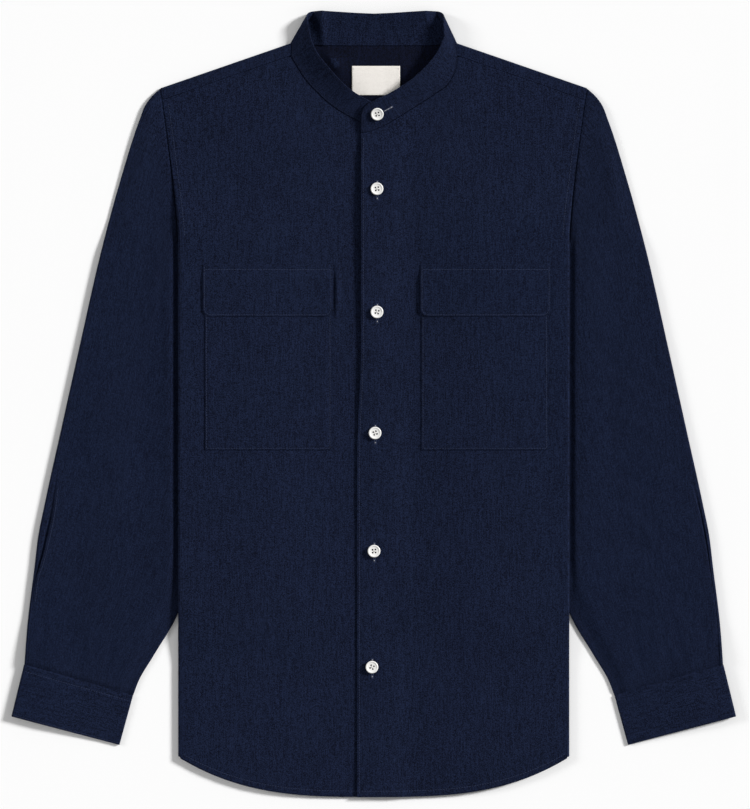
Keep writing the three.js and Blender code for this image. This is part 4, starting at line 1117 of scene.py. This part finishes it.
def cuff(name, side, seed):
    route, along = cuff_path()
    depth = math.dist(*CUFF_OUTER)
    rows = spaced(0, depth, 2.2, beside(CUFF_SEAM_STITCH, depth - EDGE_STITCH, reach=GROOVE))
    down, w = np.broadcast_arrays(rows[:, None] / depth, route[None, :, 0])
    xy = cuff_place(w, down)
    z = np.broadcast_to(route[:, 1], w.shape).copy()
    place = np.arange(len(route))
    on_top = (z > CUFF_FLAT_Z - 0.3) & (place > 20) & (place < len(route) * 0.55)
    puckers = 0.06 * uneven(w, seed, 19) * bell(rows[:, None] - CUFF_SEAM_STITCH, 9)
    z += np.where(on_top, puckers + 0.06 * uneven(w + rows[:, None], seed + 1, 70), 0)
    points = np.concatenate([xy * (side, 1), z[..., None]], -1)
    near = np.minimum(np.abs(rows - CUFF_SEAM_STITCH), np.abs(depth - rows - EDGE_STITCH))[:, None]
    thickness = CUFF_SHOWN - 0.22 * bell(near, 0.5) + 0 * route[:, 0]
    cloth = (rows[:, None] + 0 * along, along[None, :] + 0 * rows[:, None], round(seed) + 10)
    made, normals = shell(f"cuff_{name}_cloth", points, thickness, cloth, shirting)
    dress(f"cuff_{name}", made)
    columns = np.linspace(1.2, len(route) - 2.2, 900)
    outside = 1 if normals[3, len(route) // 3, 2] > 0 else -1
    lines = [on_grid(points, normals, float(np.interp(r, rows, np.arange(len(rows)))), columns,
                     outside * (CUFF_SHOWN / 2 - 0.2)) for r in (CUFF_SEAM_STITCH, depth - EDGE_STITCH)]
    sew(f"cuff_{name}", stitches(f"cuff_{name}_stitching", lines, navy_thread))


for name, side, seed in (("right", -1, 3.0), ("left", 1, 8.0)):
    cuff(name, side, seed)


# Pockets and flaps
def pocket(name, edges, side, height, seed):
    seams = beside(POCKET_LOW_Y + EDGE_STITCH, reach=GROOVE)
    y = spaced(POCKET_TOP_Y, POCKET_LOW_Y, 2.6, seams)[:, None]
    grooves = beside(edges[0] + EDGE_STITCH, edges[1] - EDGE_STITCH, reach=GROOVE)
    x = spaced(*edges, 2.4, [*grooves, *beside(148.2, reach=(-0.8, 0, 0.8))])[None, :]
    from_edge = np.minimum(np.minimum(x - edges[0], edges[1] - x), y - POCKET_LOW_Y)
    dip = -0.12 * bell(from_edge - EDGE_STITCH, 0.5)
    dip = dip + 0.1 * bell(from_edge - 7, 3)
    dip = dip + 0.12 * uneven(x + 2 * y, seed, 31) * np.exp(-from_edge / 9)
    points, _ = on_surface(height, x, y, PATCH, side)
    points[..., 2] += dip
    made, _ = shell(f"pocket_{name}_cloth", points, SHIRTING, (x * side, y, round(seed) + 20), shirting)
    dress(f"pocket_{name}", made)
    low, start, end = POCKET_LOW_Y + EDGE_STITCH, edges[0] + EDGE_STITCH, edges[1] - EDGE_STITCH
    along = path([(start, POCKET_TOP_Y - 2), (start, low), (end, low), (end, POCKET_TOP_Y - 2)])
    lines = [on_surface(height, *along, PATCH + SHIRTING / 2 - 0.08, side)]
    sew(f"pocket_{name}", stitches(f"pocket_{name}_stitching", lines, navy_thread))


def flap(name, edges, side, height, seed):
    top = FLAP_ROWS["y"][0]
    rising = FLAP_ROWS["y"][::-1]

    def surface(x, y):
        at = np.clip(y, rising[0], rising[-1])
        out, lift = (curve(rising, FLAP_ROWS[k][::-1], at) for k in ("out", "lift"))
        near = np.clip(1 - (x - edges[0]) / ((edges[1] - edges[0]) * FLAP_LIFT_SHARE), 0, 1)
        wrinkle = 0.16 * uneven(x * 1.0 + y * 0.3, seed, 24) * ramp(y, top, top - 10) * (0.35 + near)
        from_edge = np.minimum(np.minimum(x - edges[0], edges[1] - x), y - FLAP_LOW_Y)
        groove = 0.1 * bell(from_edge - EDGE_STITCH, 0.5) + 0.14 * bell(top - y - FLAP_TOP_STITCH, 0.6)
        return height(x, y) + out + FLAP_LIFT * lift * near**2 + wrinkle - groove

    seams = beside(top - FLAP_TOP_STITCH, FLAP_LOW_Y + EDGE_STITCH, reach=FINE_GROOVE)
    y = spaced(top, FLAP_LOW_Y, 1.5, seams)[:, None]
    corner = np.maximum(0, FLAP_CORNER - (y - FLAP_LOW_Y))
    inset = FLAP_CORNER - np.sqrt(np.maximum(0, FLAP_CORNER**2 - corner**2))
    width = edges[1] - edges[0]
    across = spaced(0, width, 1.8, beside(EDGE_STITCH, width - EDGE_STITCH, reach=FINE_GROOVE))
    share = across / across[-1]
    x = lerp(edges[0] + inset, edges[1] - inset, share)
    y = np.broadcast_to(y, x.shape)
    points, _ = on_surface(surface, x, y, 0, side)
    cloth = (x * side, y, round(seed) + 20)
    made, _ = shell(f"pocket_flap_{name}_cloth", points, SHIRTING, cloth, shirting)
    dress(f"pocket_flap_{name}", made)
    turn = np.radians(np.linspace(0, 90, 9))
    radius, low = FLAP_CORNER - EDGE_STITCH, FLAP_LOW_Y + FLAP_CORNER
    start, end = edges[0] + FLAP_CORNER, edges[1] - FLAP_CORNER
    around = [
        (edges[0] + EDGE_STITCH, top - 1.5),
        *((start - radius * math.cos(t), low - radius * math.sin(t)) for t in turn),
        *((end + radius * math.sin(t), low - radius * math.cos(t)) for t in turn),
        (edges[1] - EDGE_STITCH, top - 1.5),
    ]
    top_row = [(edges[0] + 2, top - FLAP_TOP_STITCH), (edges[1] - 2, top - FLAP_TOP_STITCH)]
    lines = [on_surface(surface, *path(around), SHIRTING / 2, side),
             on_surface(surface, *path(top_row), SHIRTING / 2 + 0.02, side)]
    sew(f"pocket_flap_{name}", stitches(f"pocket_flap_{name}_stitching", lines, navy_thread))


for name, pocket_edges, flap_edges, side, height, seed in (
    ("right", POCKET_RIGHT, FLAP_RIGHT, -1, under_z, 2.0),
    ("left", POCKET_LEFT, FLAP_LEFT, 1, over_z, 6.0),
):
    pocket(name, pocket_edges, side, height, seed)
    flap(name, flap_edges, side, height, seed + 1)


# Buttons
BUTTON_PROFILE = [
    (0, 0.25), (3.2, 0.1), (4.9, 0), (5.6, 0.16), (6.1, 0.6), (6.35, 1.1), (6.33, 1.5), (6.18, 1.92),
    (5.9, 2.2), (5.55, 2.3), (5.2, 2.24), (4.85, 2.02), (4.6, 1.82), (4.2, 1.7), (3.9, 1.72),
    (3.6, 1.66), (2.6, 1.58), (0, 1.55),
]
HOLE_RADIUS = 0.9
HOLE_OFFSET = 1.45
HOLE_SIDES = 18


def button_mesh():
    """A button turned from its profile, with four holes drilled through."""
    sides = 56
    turn = np.linspace(0, 2 * np.pi, sides, endpoint=False)
    rings = np.array(BUTTON_PROFILE[1:-1])
    points = [(r * math.cos(t), r * math.sin(t), z) for r, z in rings for t in turn]
    faces = [(i * sides + j, i * sides + (j + 1) % sides, (i + 1) * sides + (j + 1) % sides,
              (i + 1) * sides + j) for i in range(len(rings) - 1) for j in range(sides)]
    bottom, top = len(points), len(points) + 1
    points += [(0, 0, BUTTON_PROFILE[0][1]), (0, 0, BUTTON_PROFILE[-1][1])]
    last = (len(rings) - 1) * sides
    faces += [(bottom, (j + 1) % sides, j) for j in range(sides)]
    faces += [(top, last + j, last + (j + 1) % sides) for j in range(sides)]
    blank = add_mesh("button_blank", np.array(points), faces, resin, sharp=50)
    drills, drill_faces = [], []
    for sx, sy in ((1, 1), (1, -1), (-1, 1), (-1, -1)):
        first = len(drills)
        for z in (-1, 4):
            drills += [(sx * HOLE_OFFSET + HOLE_RADIUS * math.cos(t),
                        sy * HOLE_OFFSET + HOLE_RADIUS * math.sin(t), z)
                       for t in np.linspace(0, 2 * np.pi, HOLE_SIDES, endpoint=False)]
        low, high = (range(start, start + HOLE_SIDES) for start in (first, first + HOLE_SIDES))
        for j in range(HOLE_SIDES):
            after = (j + 1) % HOLE_SIDES
            drill_faces.append((low[j], low[after], high[after], high[j]))
        drill_faces += [tuple(reversed(low)), tuple(high)]
    drill = add_mesh("button_drill", np.array(drills), drill_faces, resin)
    holes = blank.modifiers.new("holes", "BOOLEAN")
    holes.operation, holes.object, holes.solver = "DIFFERENCE", drill, "EXACT"
    shape = bpy.data.meshes.new_from_object(blank.evaluated_get(bpy.context.evaluated_depsgraph_get()))
    shape.shade_smooth()
    shape.set_sharp_from_angle(angle=math.radians(40))
    for made in (blank, drill):
        bpy.data.objects.remove(made)
    return shape


button_shape = button_mesh()


def turn_to(normal, spin):
    """Axes of a button whose face looks along normal, its holes turned by spin degrees."""
    normal = Vector(normal).normalized()
    rotation = Vector((0, 0, 1)).rotation_difference(normal).to_matrix()
    angle = math.radians(spin)
    cos, sin = math.cos(angle), math.sin(angle)
    return np.array(rotation) @ np.array([[cos, -sin, 0], [sin, cos, 0], [0, 0, 1]])


def matrix_of(axes, place):
    matrix = np.eye(4)
    matrix[:3, :3] = axes
    matrix[:3, 3] = place
    return Matrix(matrix.tolist())


def sew_button(node, base, normal, spin, scale=1.0, shank=0.9):
    """A button at base, with crossed threads through its holes and a short shank to the cloth."""
    axes = turn_to(normal, spin)
    made = bpy.data.objects.new(f"{node}_resin", button_shape.copy())
    bpy.context.scene.collection.objects.link(made)
    made.data.transform(matrix_of(axes * scale, np.array(base) * MM))
    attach(made, "root")
    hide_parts(node)
    starts, ends = [], []
    reach = HOLE_OFFSET - 0.4
    for sx, sy in ((1, 1), (1, -1)):
        for offset in (-0.2, 0.2):
            shift = np.array([offset * sy, -offset * sx, 0]) * 0.7
            starts.append(np.array([sx, sy, 0]) * reach + shift + (0, 0, 1.5))
            ends.append(np.array([-sx, -sy, 0]) * reach + shift + (0, 0, 1.5))
    for angle in np.linspace(0, 2 * np.pi, 9)[:-1]:
        side_step = np.array([math.cos(angle), math.sin(angle), 0]) * 0.75
        starts.append(side_step + (0, 0, 0.4))
        ends.append(side_step + (0, 0, -shank))
    starts, ends = (np.array(part) * scale @ axes.T + base for part in (starts, ends))
    ups = np.tile(axes[:, 2], (len(starts), 1))
    ups[4:] = axes[:, 0]
    thread = beads(f"{node}_thread", starts, ends, ups, 0.2 * scale, white_thread, arch=0.16)


def box_middle(node):
    low, high = (np.array(corner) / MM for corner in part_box(node))
    return (low + high) / 2, low, high


SPINS = (8, -12, 20, 4, -22)  # how far each front button's holes are turned, in degrees
# How far a front buttonhole runs above and below the middle of its button
HOLE_TOP = 8.2
HOLE_LOW = 11.0


def buttonhole(node, name, centre, along, normal, before, after):
    """A worked buttonhole: two rows of short stitches beside the slit, closed at both ends."""
    along = np.array(along) / np.linalg.norm(along)
    sideways = np.cross(normal, along)
    spots = np.arange(-before, after, 0.42)
    starts, ends = [], []
    for sign in (1, -1):
        for spot in spots:
            lean = 0.1 * sign
            starts.append(centre + along * (spot + lean) + sideways * sign * 0.3)
            ends.append(centre + along * spot + sideways * sign * 1.25)
    for spot in (-before - 0.3, -before, after, after + 0.3):
        starts.append(centre + along * spot - sideways * 1.25)
        ends.append(centre + along * spot + sideways * 1.25)
    ups = np.tile(normal, (len(starts), 1))
    sew(node, beads(name, np.array(starts), np.array(ends), ups, 0.24, navy_thread, arch=0.1))
    # The button's own thread shows in the slit, beyond the button
    starts, ends = [], []
    for spot in (-before + 1.1, after - 1.4):
        for sign in (1, -1):
            starts.append(centre + along * (spot - 0.7) + normal * 0.15)
            ends.append(centre + along * (spot + 0.7) + sideways * sign * 0.45 + normal * 0.25)
    ups = np.tile(normal, (len(starts), 1))
    sew(node, beads(f"{name}_fleck", np.array(starts), np.array(ends), ups, 0.2, hole_thread))


for i, spin in enumerate(SPINS, start=1):
    node = f"button_front_{i}"
    middle, low, high = box_middle(node)
    sew_button(node, np.array([middle[0], middle[1], low[2]]), (0, 0, 1), spin)
    hole_y = np.array([middle[1] + HOLE_TOP, middle[1] - HOLE_LOW])
    ends, _ = on_surface(over_z, np.full(2, middle[0] + 0.3), hole_y, SHIRTING / 2 + 0.05)
    centre = ends.mean(axis=0)
    half_length = (HOLE_TOP + HOLE_LOW) / 2
    up = np.array([0, 0, 1.0])
    buttonhole("front_left", f"buttonhole_front_{i}", centre, ends[1] - ends[0], up, half_length, half_length)

# The collar button sits on the band, tilted with it, at the lower end of its buttonhole
collar_middle, _, _ = box_middle("button_collar")
collar_row = int(np.argmin(np.abs(band_across - band_across[-1] / 2)))
band_middle = band_points[collar_row]
collar_column = int(np.argmin(np.linalg.norm((band_middle - collar_middle)[:, :2], axis=1)))
collar_normal = band_normals[collar_row, collar_column] * np.sign(band_normals[collar_row, collar_column, 2])
sew_button("button_collar", collar_middle - collar_normal * BUTTON_HEIGHT / 2, collar_normal, 10)
band_run = distances(band_middle)
hole_spots = band_run[collar_column] - np.array(COLLAR_HOLE)
hole_ends = np.stack([np.interp(hole_spots, band_run, band_middle[:, k]) for k in range(3)], -1)
hole_ends = hole_ends + collar_normal * (BAND_SHOWN / 2 + 0.05)
hole_run = hole_ends[1] - hole_ends[0]
half_run = np.linalg.norm(hole_run) / 2
hole_middle = hole_ends.mean(axis=0)
buttonhole("collar_band", "buttonhole_collar", hole_middle, hole_run, collar_normal, half_run, half_run)
slit = hole_ends[0] + hole_run * np.linspace(0.32, 1, 4)[:, None] + collar_normal * 0.32
slit_ups = np.tile(collar_normal, (3, 1))
sew("collar_band", beads("buttonhole_collar_thread", slit[:-1], slit[1:], slit_ups, 0.27, hole_thread))

for name, spin in (("right", 15), ("left", -8)):
    node = f"button_cuff_{name}"
    middle, low, high = box_middle(node)
    sew_button(node, np.array([middle[0], middle[1], high[2]]), (0, 0, -1), spin, CUFF_BUTTON_SCALE, 0.4)


# Label
def label():
    _, low, high = box_middle("neck_label")
    x = spaced(low[0], high[0], 1.2)[None, :]
    y = spaced(high[1], low[1], 1.2)[:, None]
    z = (low[2] + high[2]) / 2 + 0.1 * uneven(x, 2.0, 34) + 0.07 * uneven(y, 4.0, 25)
    turned_in = np.maximum(np.exp(-((x - low[0]) / 3) ** 4), np.exp(-((high[0] - x) / 3) ** 4))
    shown = 0.5 + 0.16 * (turned_in + 0 * y)
    points = np.stack(np.broadcast_arrays(x, y, z), -1)
    cloth = np.broadcast_arrays(x, y, 3.0)
    made, _ = shell("neck_label_cloth", points, shown, cloth, satin)
    dress("neck_label", made)
    starts, ends = [], []
    for sx in (low[0] + 1.6, high[0] - 1.6):
        for sy in (low[1] + 3, high[1] - 3):
            for k in range(3):
                starts.append((sx - 0.9, sy + 0.5 * k - 0.5, high[2] - 0.05))
                ends.append((sx + 0.9, sy + 0.5 * k - 0.3, high[2] - 0.05))
    ups = np.tile([0, 0, 1.0], (len(starts), 1))
    tacks = beads("neck_label_tacks", np.array(starts), np.array(ends), ups, 0.16, white_thread)
    sew("neck_label", tacks)


label()



# Stage, light and camera
PIXEL = 1.01
PHOTO_HEIGHT = 809
AIM = (1.26, -0.5, 3.0)
CAMERA_HEIGHT = 6000

floor_mesh = bpy.data.meshes.new("floor")
floor_mesh.from_pydata([(-4, -4, 0), (4, -4, 0), (4, 4, 0), (-4, 4, 0)], [], [(0, 1, 2, 3)])
floor = bpy.data.objects.new("floor", floor_mesh)
bpy.context.scene.collection.objects.link(floor)
floor_paint, floor_tree, floor_shader = new_material("floor_paper")
floor_place = floor_tree.nodes.new("ShaderNodeTexCoord")
floor_nodes = Nodes(floor_tree, floor_place.outputs["Object"])
tooth = floor_nodes.noise((900, 900, 900), 2.0)
paper = floor_nodes.mix(tooth, (0.965, 0.965, 0.965), (0.98, 0.98, 0.98))
floor_nodes.put(floor_shader.inputs["Base Color"], paper)
floor_shader.inputs["Roughness"].default_value = 0.9
floor_shader.inputs["Specular IOR Level"].default_value = 0.1
floor_mesh.materials.append(floor_paint)

world = bpy.data.worlds.new("studio")
bpy.context.scene.world = world
world.use_nodes = True
world.node_tree.nodes["Background"].inputs["Color"].default_value = (1, 1, 1, 1)
world.node_tree.nodes["Background"].inputs["Strength"].default_value = 0.3


def softbox(name, bearing, height, width, power):
    """A wide soft light far off, at a bearing from straight up the picture and a height, in degrees."""
    light = bpy.data.lights.new(name, "SUN")
    light.angle, light.energy = math.radians(width), power
    made = bpy.data.objects.new(name, light)
    bpy.context.scene.collection.objects.link(made)
    turn, rise = math.radians(bearing), math.radians(height)
    source = Vector((math.sin(turn) * math.cos(rise), math.cos(turn) * math.cos(rise), math.sin(rise)))
    made.location = source * 3
    made.rotation_euler = (-source).to_track_quat("-Z", "Y").to_euler()


softbox("softbox_right", 67, 26, 12, 4.2)
softbox("softbox_left", -74, 22, 16, 1.0)

camera_data = bpy.data.cameras.new("camera")
camera = bpy.data.objects.new("camera", camera_data)
bpy.context.scene.collection.objects.link(camera)
bpy.context.scene.camera = camera
distance = CAMERA_HEIGHT - AIM[2]
camera_data.lens = camera_data.sensor_width * distance / (PHOTO_HEIGHT * PIXEL)
camera_data.clip_end = 100
camera.location = (AIM[0] * MM, AIM[1] * MM, CAMERA_HEIGHT * MM)
bpy.context.scene.view_settings.view_transform = "Standard"
